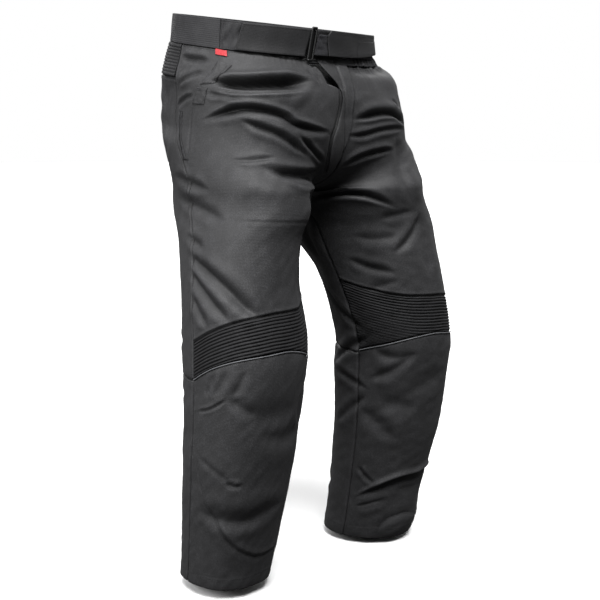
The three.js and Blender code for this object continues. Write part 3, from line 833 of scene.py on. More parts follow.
def ranged(tree: bpy.types.NodeTree, value: Socket, given: Pair, wanted: Pair) -> Socket:
    """A value carried from one range to another and held inside it.

    Args:
        tree: the node tree.
        value: what is carried.
        given: the range it comes from.
        wanted: the range it goes to.

    Returns:
        The carried value.
    """
    return add(tree, "ShaderNodeMapRange", {"Value": value}, From_Min=given[0], From_Max=given[1],
               To_Min=wanted[0], To_Max=wanted[1]).outputs[0]


def linear(code: str) -> tuple[float, float, float, float]:
    """Linear colour of an sRGB hex code, as red, green, blue and a full alpha."""
    parts = [int(code.lstrip("#")[k:k + 2], 16) / 255 for k in (0, 2, 4)]
    return (*(c / 12.92 if c <= 0.04045 else ((c + 0.055) / 1.055) ** 2.4 for c in parts), 1.0)


class Weave(Enum):
    """The surface pattern of a textile finish."""

    PLAIN = "plain"
    KNIT = "knit"
    CORDED = "corded"
    FUZZY = "fuzzy"
    SMOOTH = "smooth"


@dataclass(frozen=True)
class Finish:
    """One real material and what it gives the eye.

    The tint runs from `colour` to a lighter colour with blotches and yarn flecks, and towards it on bent
    ridges as a painted sheen. Inside creases it is darkened as painted shade, by how much of the sky the
    cloth's own folds hide, which deepens the folds to the eye. That goes with the object, not with the
    camera. `pitch` is the distance from yarn to yarn in millimetres, drawn about twice as coarse as on the
    real cloth, so that the weave isn't lost between pixels.
    """

    name: str
    colour: str
    wear_and_ridge_sheen: str
    roughness: float
    sheen: float
    weave: Weave
    pitch: float
    bump: float
    specular: float = 0.35
    mottle: float = 0.5

    def build(self) -> bpy.types.Material:
        """Makes the procedural material.

        Returns:
            The material, patterned in the piece's own millimetre coordinates.
        """
        made = bpy.data.materials.new(self.name)
        made.use_nodes = True
        tree = made.node_tree
        tree.nodes.clear()
        out = add(tree, "ShaderNodeOutputMaterial")
        where = add(tree, "ShaderNodeTexCoord")
        spot = where.outputs["Object"]
        blotch = ranged(tree, noise(tree, spot, BLOTCH, 4.0, 0.6), (0.35, 0.7), (0.0, self.mottle))
        # Painted sheen: bent ridges, found by their pointiness, are tinted towards the lighter colour
        ridge = add(tree, "ShaderNodeNewGeometry").outputs["Pointiness"]
        wear_and_ridge_sheen = ranged(tree, ridge, (0.5, 0.56), (0.0, 0.5))
        both = add(tree, "ShaderNodeMath", {0: blotch, 1: wear_and_ridge_sheen}, operation="ADD", use_clamp=True)
        flecks = ranged(tree, noise(tree, spot, FLECK, 3.0, 0.7), (0.42, 0.62), (-0.45, 0.45))
        mixed = add(tree, "ShaderNodeMath", {0: both.outputs[0], 1: flecks}, operation="ADD", use_clamp=True)
        tint = add(tree, "ShaderNodeMix", {"Factor": mixed.outputs[0]}, data_type="RGBA")
        tint.inputs[6].default_value = linear(self.colour)
        tint.inputs[7].default_value = linear(self.wear_and_ridge_sheen)
        # Painted shade: the tint is darkened in creases by the share of the sky that the cloth's own folds
        # hide
        sky = add(tree, "ShaderNodeAmbientOcclusion", samples=8, Distance=CREASE_REACH * MM).outputs["AO"]
        painted_crease_shade = ranged(tree, sky, (0.5, 0.93), (CREASE_SHADE_FLOOR, 1.0))
        shaded_tint = add(tree, "ShaderNodeVectorMath", {0: tint.outputs[2], "Scale": painted_crease_shade}, operation="SCALE")
        grain = add(tree, "ShaderNodeMath", {0: noise(tree, spot, GRAIN, 4.0, 0.65)}, operation="MULTIPLY")
        grain.inputs[1].default_value = 2.4
        weave = self.pattern(tree, where)
        rough = add(tree, "ShaderNodeMath", {0: weave, 1: grain.outputs[0]}, operation="ADD").outputs[0]
        bump = add(tree, "ShaderNodeBump", {"Height": rough}, Strength=self.bump, Distance=0.6 * MM)
        skin = add(tree, "ShaderNodeBsdfPrincipled",
                   {"Base Color": shaded_tint.outputs[0], "Normal": bump.outputs["Normal"]},
                   Roughness=self.roughness, Sheen_Weight=self.sheen, Sheen_Roughness=0.45,
                   Specular_IOR_Level=self.specular)
        skin.inputs["Sheen Tint"].default_value = linear("#d0d0d2")
        tree.links.new(skin.outputs["BSDF"], out.inputs["Surface"])
        return made

    def pattern(self, tree: bpy.types.NodeTree, where: bpy.types.Node) -> Socket:
        """The weave's height.

        A wave repeats every 2 pi / 20 of its scaled coordinate, so with a scale of 1 over 2 pi pitches one
        wave takes in just under two yarns, one over and one under.

        Args:
            tree: the material's tree.
            where: its texture coordinates.

        Returns:
            A socket with heights from 0 to 1.
        """
        if self.weave in (Weave.SMOOTH, Weave.FUZZY):
            size = FUZZ_GRAIN if self.weave is Weave.FUZZY else SMOOTH_GRAIN
            return noise(tree, where.outputs["Object"], size, 3.0)
        warp, weft = (add(tree, "ShaderNodeTexWave", {"Vector": where.outputs["UV"]}, bands_direction=way,
                          Scale=1 / (2 * math.pi * self.pitch * MM), Distortion=0.6, Detail=1.0,
                          Detail_Scale=4.0).outputs["Fac"] for way in ("X", "Y"))
        mode = {Weave.PLAIN: "MULTIPLY", Weave.KNIT: "ADD", Weave.CORDED: "MAXIMUM"}[self.weave]
        return add(tree, "ShaderNodeMath", {0: warp, 1: weft}, operation=mode).outputs[0]


def dress(obj: bpy.types.Object, material: bpy.types.Material, slot: str | None,
          *nodes: str) -> bpy.types.Object:
    """Gives a piece its material and puts it in the frame.

    Args:
        obj: the finished piece, at the origin.
        material: its finish.
        slot: the record's material slot, or none for what the record has no slot for; not used.
        nodes: the CAD nodes that it stands for.

    Returns:
        The object.
    """
    obj.data.materials.clear()
    obj.data.materials.append(material)
    if nodes:
        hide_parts(*nodes)
    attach(obj, "root")
    LOG.info("%s: %d faces", obj.name, len(obj.data.polygons))
    return obj


def sewn(obj: bpy.types.Object, look: bpy.types.Material, slot: str, node: str) -> None:
    """Args:
        obj: the finished piece.
        look: its finish.
        slot: the record's material slot.
        node: the CAD node that it stands for.
    """
    dress(obj, look, slot, node)


def knee_edge(side: Side, which: int) -> Heights:
    """An edge of the knee panel; the left one hangs lower towards its outer side.

    Args:
        side: the leg.
        which: 0 upper, 1 lower.

    Returns:
        The edge's height over u.
    """
    sag = (9.0, 17.0)[which] if side is Side.LEFT else 0.0

    def edge(u: Array) -> Array:
        """The edge's height."""
        u = np.asarray(u, float)
        return column(KNEE, u, falling=False)[..., which] - sag * smooth(u / 0.3) * smooth((0.5 - u) / 0.14)

    return edge


def level(height: float) -> Heights:
    """A level edge at that height."""
    return lambda u: np.full(np.shape(u), float(height))


def front_top(side: Side) -> Heights:
    """Upper edge of a thigh front: the left one leaves room for the deeper waistband front above it, and the
    right one's corner has slipped down at the fly.

    Args:
        side: the leg.

    Returns:
        The edge's height over u.
    """
    if side is Side.LEFT:
        room = LAP_BOTTOM - 0.15 - BAND_BOTTOM
        return lambda u: FRONT_TOP + room * smooth((0.336 - np.asarray(u, float)) / 0.008)
    return lambda u: (FRONT_TOP - 11 * smooth((0.100 - np.asarray(u, float)) / 0.020)
                      - 8 * np.clip(1 - np.asarray(u, float) / 0.054, 0, 1)
                      - CORNER_DROP * smooth((0.070 - np.asarray(u, float)) / 0.016))


@dataclass(frozen=True)
class Panel:
    """One cut piece of a leg, from a top line to a bottom line over u, with its folds and seam edges.

    Edges are top, bottom, first side and last side. `grain` and `row` are the mesh's spacing across and down.
    `gathers` is where the gathered top begins and ends in u, and its depth. `tuck` is how far the top runs up
    behind the piece above, and from which u on. `hem` is the hem's depth, `ribs` the ribs' height and `rib`
    their pitch. `valley` is a seam's depth and half width, and `welt` the height, distance in and half width
    of the turned allowance beside a topstitched one.
    """

    node: str
    side: Side
    span: Pair
    top: Heights
    bottom: Heights
    folds: tuple[Fold, ...]
    edges: tuple[Edge, Edge, Edge, Edge] = (Edge.PLAIN, Edge.PLAIN, Edge.PLAIN, Edge.PLAIN)
    grain: float = 2.6
    row: float = 2.6
    wall: float = 1.4
    hem: float = 0.0
    ribs: float = 0.0
    gathers: tuple[float, float, float] = (0.0, 0.0, 0.0)
    tuck: Pair = (0.0, 0.0)
    valley: Pair = (2.4, 2.2)
    welt: tuple[float, float, float] = (0.8, 4.4, 2.4)
    rib: float = 5.3
    plain_band: float = 5.0

    def relief(self, u: Array, z: Array) -> Array:
        """Offset of the cloth from the bare form: folds, slow unevenness, seam valleys, welts and puckers.

        Args:
            u: place round the leg.
            z: nominal height.

        Returns:
            Offsets in millimetres.
        """
        u, z = np.broadcast_arrays(np.asarray(u, float), np.asarray(z, float))
        seed = 11 if self.side is Side.RIGHT else 47
        x = u * GIRTH
        mid = smooth(np.minimum(u, 1 - u) / 0.035)
        total = mid * (0.55 * ripple(x, z, 74, seed) + 0.22 * ripple(x, z, 27, seed + 1))
        for fold_line in self.folds:
            total = total + fold_line.offset(u, z)
            if fold_line.path[-1][0] > 1.0:
                total = total + fold_line.offset(u + 1.0, z)
        gaps = (self.top(u) - z, z - self.bottom(u), (u - self.span[0]) * GIRTH, (self.span[1] - u) * GIRTH)
        for k, (gap, edge) in enumerate(zip(gaps, self.edges)):
            if edge is Edge.FREE:
                continue
            run = x if k < 2 else z
            deep, wide = self.valley
            total = total - deep * bell(np.maximum(gap, 0), wide) - 0.5 * smooth(-gap / 1.5)
            total = total + 0.3 * ripple(run, gap * 0.3, 12.0, seed + k) * np.exp(-np.abs(gap) / 8)
            if edge is Edge.WELTED:
                high, inset, wide = self.welt
                total = total + high * bell(gap - inset, wide) - 0.3 * bell(gap - 2.6, 0.7)
        if self.hem:
            up = gaps[1]
            total = total + 0.5 * smooth((self.hem - up) / 1.5) - 0.45 * bell(up - self.hem, 0.9)
            total = total + 0.35 * ripple(x, up * 0.2, 14, seed + 9) * np.exp(-np.abs(up - self.hem) / 7)
        if self.ribs:
            total = total + self.ribbing(u, gaps[0])
        first, last, amount = self.gathers
        if amount:
            part = smooth((u - first) / 0.03) * smooth((last - u) / 0.03)
            total = total + amount * part * np.exp(-gaps[0] / 13) * ripple(x, gaps[0] * 0.1, 10.5, seed + 5)
        return total

    def ribbing(self, u: Array, down: Array) -> Array:
        """Rows of stuffed ribs below a plain folded band.

        Args:
            u: place round the leg.
            down: distance below the panel's upper edge.

        Returns:
            Offsets: minus the rib depth in the grooves, 0 on the crests.
        """
        wavy = down + 0.25 * ripple(u * GIRTH, down, 60, 5)
        turn = np.abs(np.sin(math.pi * (wavy - self.plain_band) / self.rib))
        groove = -self.ribs * (1 - turn**0.6)
        return np.where(down < self.plain_band, -self.ribs * bell(down - self.plain_band, 0.7), groove)

    def point(self, u: Array, z: Array, lift: float | Array = 0.0) -> Array:
        """A point on the cloth's outer face, moved out by `lift`, kept on its own side of the middle.

        Args:
            u: place round the leg.
            z: nominal height.
            lift: distance out from the cloth.

        Returns:
            Points in millimetres.
        """
        side = float(self.side.value)
        u, z = np.broadcast_arrays(np.asarray(u, float), np.asarray(z, float))
        n = outward(u, z, side)
        n[..., 0] *= np.where(z > CROTCH_Z - 4, smooth(np.minimum(u, 1 - u) / 0.014), 1)
        p = bare(u, z, side) + n * (self.relief(u, z) + lift)[..., None]
        p[..., 0] = side * np.maximum(side * p[..., 0], 0.1)
        return p

    def build(self) -> bpy.types.Object:
        """The panel's closed shell, with its top run up behind its neighbour as `tuck` says.

        Returns:
            The object, named after its node with _cloth.
        """
        first, last = self.span
        middle = np.array([(first + last) / 2])
        tall = float((self.top(middle) - self.bottom(middle))[0])
        across = steps((last - first) * GIRTH, 0.9, self.grain, 8)
        down = steps(tall, min(0.9, self.row), self.row, 8)
        u = first + (last - first) * across[None, :] + 0 * down[:, None]
        high, low = self.top(u) + self.tuck[0] * smooth((u - self.tuck[1]) / 0.02), self.bottom(u)
        z = high + (low - high) * down[:, None]
        uv = np.stack([u * GIRTH * MM, z * MM], -1)
        return shell(f"{self.node}_cloth", self.point(u, z), self.point(u, z, -self.wall), uv)

    def border(self, which: int, inset: float, start: float = 0.0, stop: float = 1.0) -> Array:
        """A line of (u, z) parallel to one border.

        Args:
            which: 0 top, 1 bottom, 2 first side, 3 last side.
            inset: distance in from the border, in millimetres.
            start: where the line begins, 0 to 1 along the border.
            stop: where it ends.

        Returns:
            Array (n, 2).
        """
        t = np.linspace(start, stop, 300)
        first, last = self.span
        if which < 2:
            u = first + (last - first) * t
            return np.stack([u, self.top(u) - inset if which == 0 else self.bottom(u) + inset], -1)
        u = np.full_like(t, first + inset / GIRTH if which == 2 else last - inset / GIRTH)
        high, low = self.top(u), self.bottom(u)
        return np.stack([u, high + (low - high) * t], -1)

    def stitches(self, path: Array) -> Arrays:
        """Spindle stitches along a (u, z) line on this panel, 2.5 mm long in every 3.3 mm.

        Args:
            path: dense (u, z) points.

        Returns:
            Points and quads.
        """
        u, z = path[:, 0], path[:, 1]
        return beads(self.point(u, z, 0.1), outward(u, z, float(self.side.value)), 3.3, 2.5, 0.24)


@dataclass(frozen=True)
class Strip:
    """A closed band of cloth round the waist, over (g, z), with its own offset rule."""

    name: str
    span: Pair
    top: float
    bottom: float
    off: Offsets
    wall: float = 1.8
    grain: float = 2.6
    row: float = 1.2
    skew: Callable[[Array, Array], Arrays] | None = None

    def place(self, p: Array, q: Array) -> Arrays:
        """The (g, z) of a place on the strip.

        Args:
            p: along it, 0 to 1.
            q: down it, 0 to 1.

        Returns:
            g and z.
        """
        g = self.span[0] + (self.span[1] - self.span[0]) * p
        z = self.top + (self.bottom - self.top) * q
        if self.skew is None:
            return g, z
        aside, rise = self.skew(p, q)
        return g + aside, z + rise

    def grid(self, lift: float) -> Arrays:
        """Points over the strip and their cloth coordinates.

        Args:
            lift: distance out from its outer face.

        Returns:
            Points (rows, columns, 3) and coordinates (rows, columns, 2).
        """
        length, tall = abs(self.span[1] - self.span[0]) * WAIST_GIRTH, self.top - self.bottom
        p, q = np.broadcast_arrays(steps(length, 0.6, self.grain, 6)[None, :],
                                   steps(tall, 0.5, self.row, 4)[:, None])
        g, z = self.place(p, q)
        edge = np.minimum(np.minimum(p, 1 - p) * length, np.minimum(q, 1 - q) * tall)
        rounding = -0.45 * bell(edge, 0.7)
        uv = np.stack([g * WAIST_GIRTH * MM, z * MM], -1)
        return round_at(g, z, self.off(p, q) + rounding * (1 if lift == 0 else -1) + lift), uv

    def build(self) -> bpy.types.Object:
        """The strip's closed shell.

        Returns:
            The object.
        """
        outer, uv = self.grid(0.0)
        inner, _ = self.grid(-self.wall)
        return shell(self.name, outer, inner, uv)

    def stitches(self, start: Pair, stop: Pair) -> Arrays:
        """Stitches in a straight row on the strip's face, 2.5 mm long in every 3.2 mm.

        Args:
            start: place along and down the strip where the row begins, both 0 to 1.
            stop: where it ends.

        Returns:
            Points and quads.
        """
        p, q = (np.linspace(a, b, 240) for a, b in zip(start, stop))
        g, z = self.place(p, q)
        off = self.off(p, q) + 0.1
        line = round_at(g, z, off)
        return beads(line, round_at(g, z, off + 1) - line, 3.2, 2.5, 0.26)


@dataclass(frozen=True)
class Patch:
    """A small cloth piece lying on a panel, between four (u, z) corners taken round."""

    node: str
    panel: Panel
    corners: tuple[Pair, Pair, Pair, Pair]
    lift: float = 1.25
    wall: float = 0.9

    def place(self, p: Array, q: Array) -> Arrays:
        """The (u, z) of a place on the patch.

        Args:
            p: along its first edge, 0 to 1.
            q: away from it, 0 to 1.

        Returns:
            u and z.
        """
        a, b, c, d = (np.array(corner) for corner in self.corners)
        p, q = np.asarray(p, float)[..., None], np.asarray(q, float)[..., None]
        at = (1 - q) * ((1 - p) * a + p * b) + q * ((1 - p) * d + p * c)
        return at[..., 0], at[..., 1]

    def grid(self, lift: float) -> Arrays:
        """Points over the patch and their cloth coordinates.

        Args:
            lift: distance out from its outer face.

        Returns:
            Points (rows, columns, 3) and coordinates (rows, columns, 2).
        """
        a, b, _, d = (np.array(corner) * (GIRTH, 1.0) for corner in self.corners)
        wide, tall = float(np.linalg.norm(b - a)), float(np.linalg.norm(d - a))
        p, q = np.broadcast_arrays(steps(wide, 0.5, 1.2, 3)[None, :], steps(tall, 0.5, 1.4, 3)[:, None])
        u, z = self.place(p, q)
        edge = np.minimum(np.minimum(p, 1 - p) * wide, np.minimum(q, 1 - q) * tall)
        rounding = 0.35 * bell(edge, 0.6) * (1 if lift < 0 else -1)
        waves = 0.25 * ripple(u * GIRTH, z, 13, 17)
        uv = np.stack([u * GIRTH * MM, z * MM], -1)
        return self.panel.point(u, z, self.lift + lift + rounding + waves), uv

    def build(self) -> bpy.types.Object:
        """The patch's closed shell.

        Returns:
            The object, named after its node with _cloth.
        """
        outer, uv = self.grid(0.0)
        inner, _ = self.grid(-self.wall)
        return shell(f"{self.node}_cloth", outer, inner, uv)

    def stitches(self, start: Pair, stop: Pair) -> Arrays:
        """Stitches in a straight row on the patch.

        Args:
            start: place along and away from the first edge, both 0 to 1.
            stop: where the row ends.

        Returns:
            Points and quads.
        """
        u, z = self.place(*(np.linspace(a, b, 80) for a, b in zip(start, stop)))
        line = self.panel.point(u, z, self.lift + 0.15)
        return beads(line, outward(u, z, float(self.panel.side.value)), 2.9, 2.3, 0.24)


@dataclass(frozen=True)
class Pocket:
    """The hip pocket: a slanted band, the zip's cover below it, and the zip itself."""

    panel: Panel

    def build(self, looks: Looks) -> list[Arrays]:
        """Args:
            looks: materials by slot.

        Returns:
            The stitching on them.
        """
        tag = self.panel.side.tag
        band = Patch(f"pocket_band_{tag}", self.panel,
                     ((0.334, -43), (0.293, -47), (0.338, -79), (0.379, -84)))
        cover = Patch(f"zip_garage_{tag}", self.panel,
                      ((0.388, -89.5), (0.353, -88.5), (0.363, -117), (0.407, -118)))
        tape = Patch(f"pocket_zip_{tag}", self.panel,
                     ((0.4640, -133), (0.4480, -133), (0.4810, -212), (0.4970, -212)), 0.75, 0.45)
        sewn(band.build(), looks["shell_cloth"], "shell_cloth", band.node)
        sewn(cover.build(), looks["shell_cloth"], "shell_cloth", cover.node)
        sewn(tape.build(), looks["zip_tape"], "zip_tape", tape.node)
        self.teeth(tape, looks["black_plastic"])
        rows = [band.stitches((0.80, 0.02), (0.80, 0.98)), band.stitches((0.94, 0.02), (0.94, 0.98)),
                band.stitches((0.06, 0.02), (0.06, 0.98)), band.stitches((0.04, 0.95), (0.96, 0.95))]
        rows += [cover.stitches((0.04, q), (0.96, q)) for q in (0.07, 0.17, 0.94)]
        rows += [cover.stitches((p, 0.04), (p, 0.96)) for p in (0.07, 0.93)]
        # The bar tack across the zip's foot: two lines sewn there and back, about twice as wide as the tape
        rows += [tape.stitches((-0.6 + 2.2 * k, 0.992 + 0.012 * j), (1.6 - 2.2 * k, 0.992 + 0.012 * j))
                 for j in range(2) for k in range(2)]
        return rows

    def teeth(self, tape: Patch, look: bpy.types.Material) -> None:
        """Two rows of small teeth down the middle of the tape.

        Args:
            tape: the zip's tape.
            look: their material.
        """
        q = np.linspace(0.0, 1.0, 260)
        rows = []
        for p in (0.40, 0.60):
            u, z = tape.place(np.full_like(q, p), q)
            line = self.panel.point(u, z, 0.85)
            rows.append(beads(line, outward(u, z, float(self.panel.side.value)), 1.6, 1.1, 0.55))
        dress(joined(f"zip_teeth_{self.panel.side.tag}", rows), look, "black_plastic")


@dataclass(frozen=True)
class Leg:
    """One side of the garment: thigh front and back, ribbed knee panel, shin front, calf back and piping."""

    side: Side
    folds: tuple[Fold, ...]
    seams: tuple[Seam, ...]

    def panels(self) -> dict[str, Panel]:
        """The five cut pieces.

        Returns:
            The panels by short name.
        """
        tag = self.side.tag
        knee_top, knee_bottom = knee_edge(self.side, 0), knee_edge(self.side, 1)
        knee_back = level(BACK_KNEE_Z)
        hem = level(HEM_Z + (7 if self.side is Side.RIGHT else 0))
        folds = self.folds + tuple(Fold(seam.path, 2.2, 0.9, 0.5, 0.5, 0.2) for seam in self.seams)
        right = self.side is Side.RIGHT
        gathers = (0.06, 0.25, 0.9) if right else (0.07, 0.29, 2.8)
        # The right front's slipped corner at the fly has nothing above it to run behind
        tuck = (3.0, 0.10 if right else -0.02)
        plain, welted, free = Edge.PLAIN, Edge.WELTED, Edge.FREE
        return {
            "thigh": Panel(f"thigh_front_{tag}", self.side, (0.0, 0.5), front_top(self.side), knee_top, folds,
                           (plain, welted, plain, welted), gathers=gathers, grain=2.4, row=2.4, tuck=tuck),
            "seat": Panel(f"thigh_back_{tag}", self.side, (0.5, 1.0), level(YOKE_Z), knee_back, folds,
                          (welted, plain, plain, plain), grain=3.8, row=3.8, tuck=(3.0, 0.0)),
            "knee": Panel(f"knee_stretch_{tag}", self.side, (0.0, 0.5), knee_top, knee_bottom, folds,
                          (plain, plain, plain, plain), grain=4.0, row=0.66, ribs=2.5, wall=1.2),
            "shin": Panel(f"shin_front_{tag}", self.side, (0.0, 0.5), knee_bottom, hem, folds,
                          (plain, free, plain, welted), grain=2.6, row=2.6, hem=22.0),
            "calf": Panel(f"calf_back_{tag}", self.side, (0.5, 1.0), knee_back, hem, folds,
                          (plain, free, plain, plain), grain=3.8, row=3.8, hem=22.0),
        }

    def build(self, looks: Looks) -> None:
        """Args:
            looks: materials by slot.
        """
        made = self.panels()
        for name, panel in made.items():
            slot = "stretch_cloth" if name == "knee" else "shell_cloth"
            sewn(panel.build(), looks[slot], slot, panel.node)
        self.piping(made["shin"], looks["reflective_piping"])
        rows = Pocket(made["thigh"]).build(looks)
        for seam in self.seams:
            rows += [made[seam.panel].stitches(path) for path in seam.rows()]
        for name, which, inset in BORDER_ROWS:
            rows.append(made[name].stitches(made[name].border(which, inset, 0.004, 0.996)))
        dress(joined(f"topstitching_{self.side.tag}", rows), looks["thread"], None)
        if self.side is Side.RIGHT:
            self.tab(made["thigh"], looks["red_tab"])

    def tab(self, thigh: Panel, look: bpy.types.Material) -> None:
        """The plain red tab let into the waistband's lower seam.

        Args:
            thigh: the panel below it.
            look: its material.
        """
        corners = ((0.3425, -23.9), (0.3065, -24.9), (0.3055, -35.0), (0.3415, -33.6))
        patch = Patch("side_tab", thigh, corners, 1.9, 1.1)
        sewn(patch.build(), look, "red_tab", "side_tab")

    def piping(self, shin: Panel, look: bpy.types.Material) -> None:
        """The reflective piping in the seam under the knee panel.

        Args:
            shin: the panel below it.
            look: the piping's material.
        """
        u = np.linspace(0.004, 0.496, 260)
        z = shin.top(u) - 0.8
        line = shin.point(u, z, 2.2)
        obj = joined(f"knee_piping_{self.side.tag}_cord", [swept(line, 1.1, 8)])
        dress(obj, look, "reflective_piping", f"knee_piping_{self.side.tag}")


@dataclass(frozen=True)
class Waist:
    """Waistband: ribbed elastic round the back and two cloth fronts, with the ribbed yoke below."""

    wall: float = 2.0
    rib: float = 3.2
    yoke_rib: float = 5.2

    def build(self, looks: Looks) -> None:
        """Args:
            looks: materials by slot.
        """
        def ribs(p: Array, q: Array) -> Array:
            """Fine level ribs round the elastic, with slight uneven pull.

            Args:
                p: along the strip, 0 to 1.
                q: down it, 0 to 1.

            Returns:
                Distances out from the bare form.
            """
            z = q * (BAND_TOP - BAND_BOTTOM)
            groove = 0.4 * (1 - np.abs(np.sin(math.pi * z / self.rib)) ** 0.7)
            return 0.5 * ripple(p * 730, z, 34, 3) - groove * smooth(q * 20) * smooth((1 - q) * 20)

        def plain(p: Array, q: Array) -> Array:
            """A cloth front with slow waves and a welt at both long edges.

            Args:
                p: along the strip, 0 to 1.
                q: down it, 0 to 1.

            Returns:
                Distances out from the bare form.
            """
            z = q * (BAND_TOP - BAND_BOTTOM)
            near = np.minimum(z, BAND_TOP - BAND_BOTTOM - z)
            pucker = 0.7 * ripple(p * 180, z * 0.3, 9, 14) * smooth((0.35 - p) / 0.2)
            return 0.6 * ripple(p * 180, z, 30, 8) + pucker - 0.35 * bell(near - 3, 0.7)

        def lapped(p: Array, q: Array) -> Array:
            """The left front, deeper than the right one, gathered in its lower half under the tab.

            Args:
                p: along the strip, 0 to 1.
                q: down it, 0 to 1.

            Returns:
                Distances out from the bare form.
            """
            z = q * (BAND_TOP - LAP_BOTTOM)
            part = smooth((p - 0.15) / 0.1) * smooth((0.72 - p) / 0.1) * smooth((z - 32) / 8)
            pleats = 2.4 * part * ripple(p * 210, z * 0.12, 9.0, 12) - 2.4 * bell(z - 37, 5)
            return 0.6 * ripple(p * 200, z, 30, 8) + 0.6 * smooth((z - 40) / 6.5) + pleats

        def tucked(p: Array, q: Array) -> Array:
            """The right front, which dips under the left one near its end."""
            return plain(p, q) - 2.6 * smooth((p - 0.7) / 0.15)

        def yoke_ribs(p: Array, q: Array) -> Array:
            """Level ribs over the yoke's stretch cloth, whose top is sewn in behind the elastic.

            Args:
                p: along the strip, 0 to 1.
                q: down it, 0 to 1.

            Returns:
                Distances out from the bare form.
            """
            z = q * (YOKE_TOP - YOKE_Z)
            pull = 0.4 * ripple(p * 700, z * 0.4, 40, 6)
            crest = 1.4 * np.abs(np.sin(math.pi * z / self.yoke_rib)) ** 0.6 - 0.2 + pull
            return crest - (crest + 2.6) * smooth((4.6 - z) / 1.8)

        elastic = Strip("waistband_elastic_cloth", (0.3315, 1.6685), BAND_TOP, BAND_BOTTOM, ribs, self.wall,
                        4.0, 0.6)
        right = Strip("waistband_front_right_cloth", (0.3305, 0.03), BAND_TOP, BAND_BOTTOM, tucked, self.wall)
        left = Strip("waistband_front_left_cloth", (1.6695, 2.052), BAND_TOP, LAP_BOTTOM, lapped, self.wall)
        yoke = Strip("back_yoke_cloth", (0.5, 1.5), YOKE_TOP, YOKE_Z, yoke_ribs, self.wall, 4.0, 0.7)
        pieces = (
            (elastic, "elastic_webbing", "waistband_elastic", (0.74, 0.047)),
            (right, "shell_cloth", "waistband_front_right", (0.17, 0.047)),
            (left, "shell_cloth", "waistband_front_left", (0.21, 0.054)),
            (yoke, "stretch_cloth", "back_yoke", (0.68, 0.055)),
        )
        for strip, slot, node, flat in pieces:
            # The waistband fronts take the shell cloth's darker copy, painted shade under the belt and tab
            look = looks["shaded_band_cloth" if slot == "shell_cloth" else slot]
            sewn(strip.build(), look, slot, node)
        rows = [right.stitches((p, 0.03), (p, 0.97)) for p in (0.012, 0.030)]
        rows += [left.stitches((p, 0.03), (p, 0.97)) for p in (0.012, 0.026, 0.965, 0.988)]
        rows.append(left.stitches((0.01, 0.06), (0.99, 0.06)))
        rows += [right.stitches((0.01, q), (0.99, q)) for q in (0.06, 0.95)]
        dress(joined("topstitching_waistband", rows), looks["thread"], None)


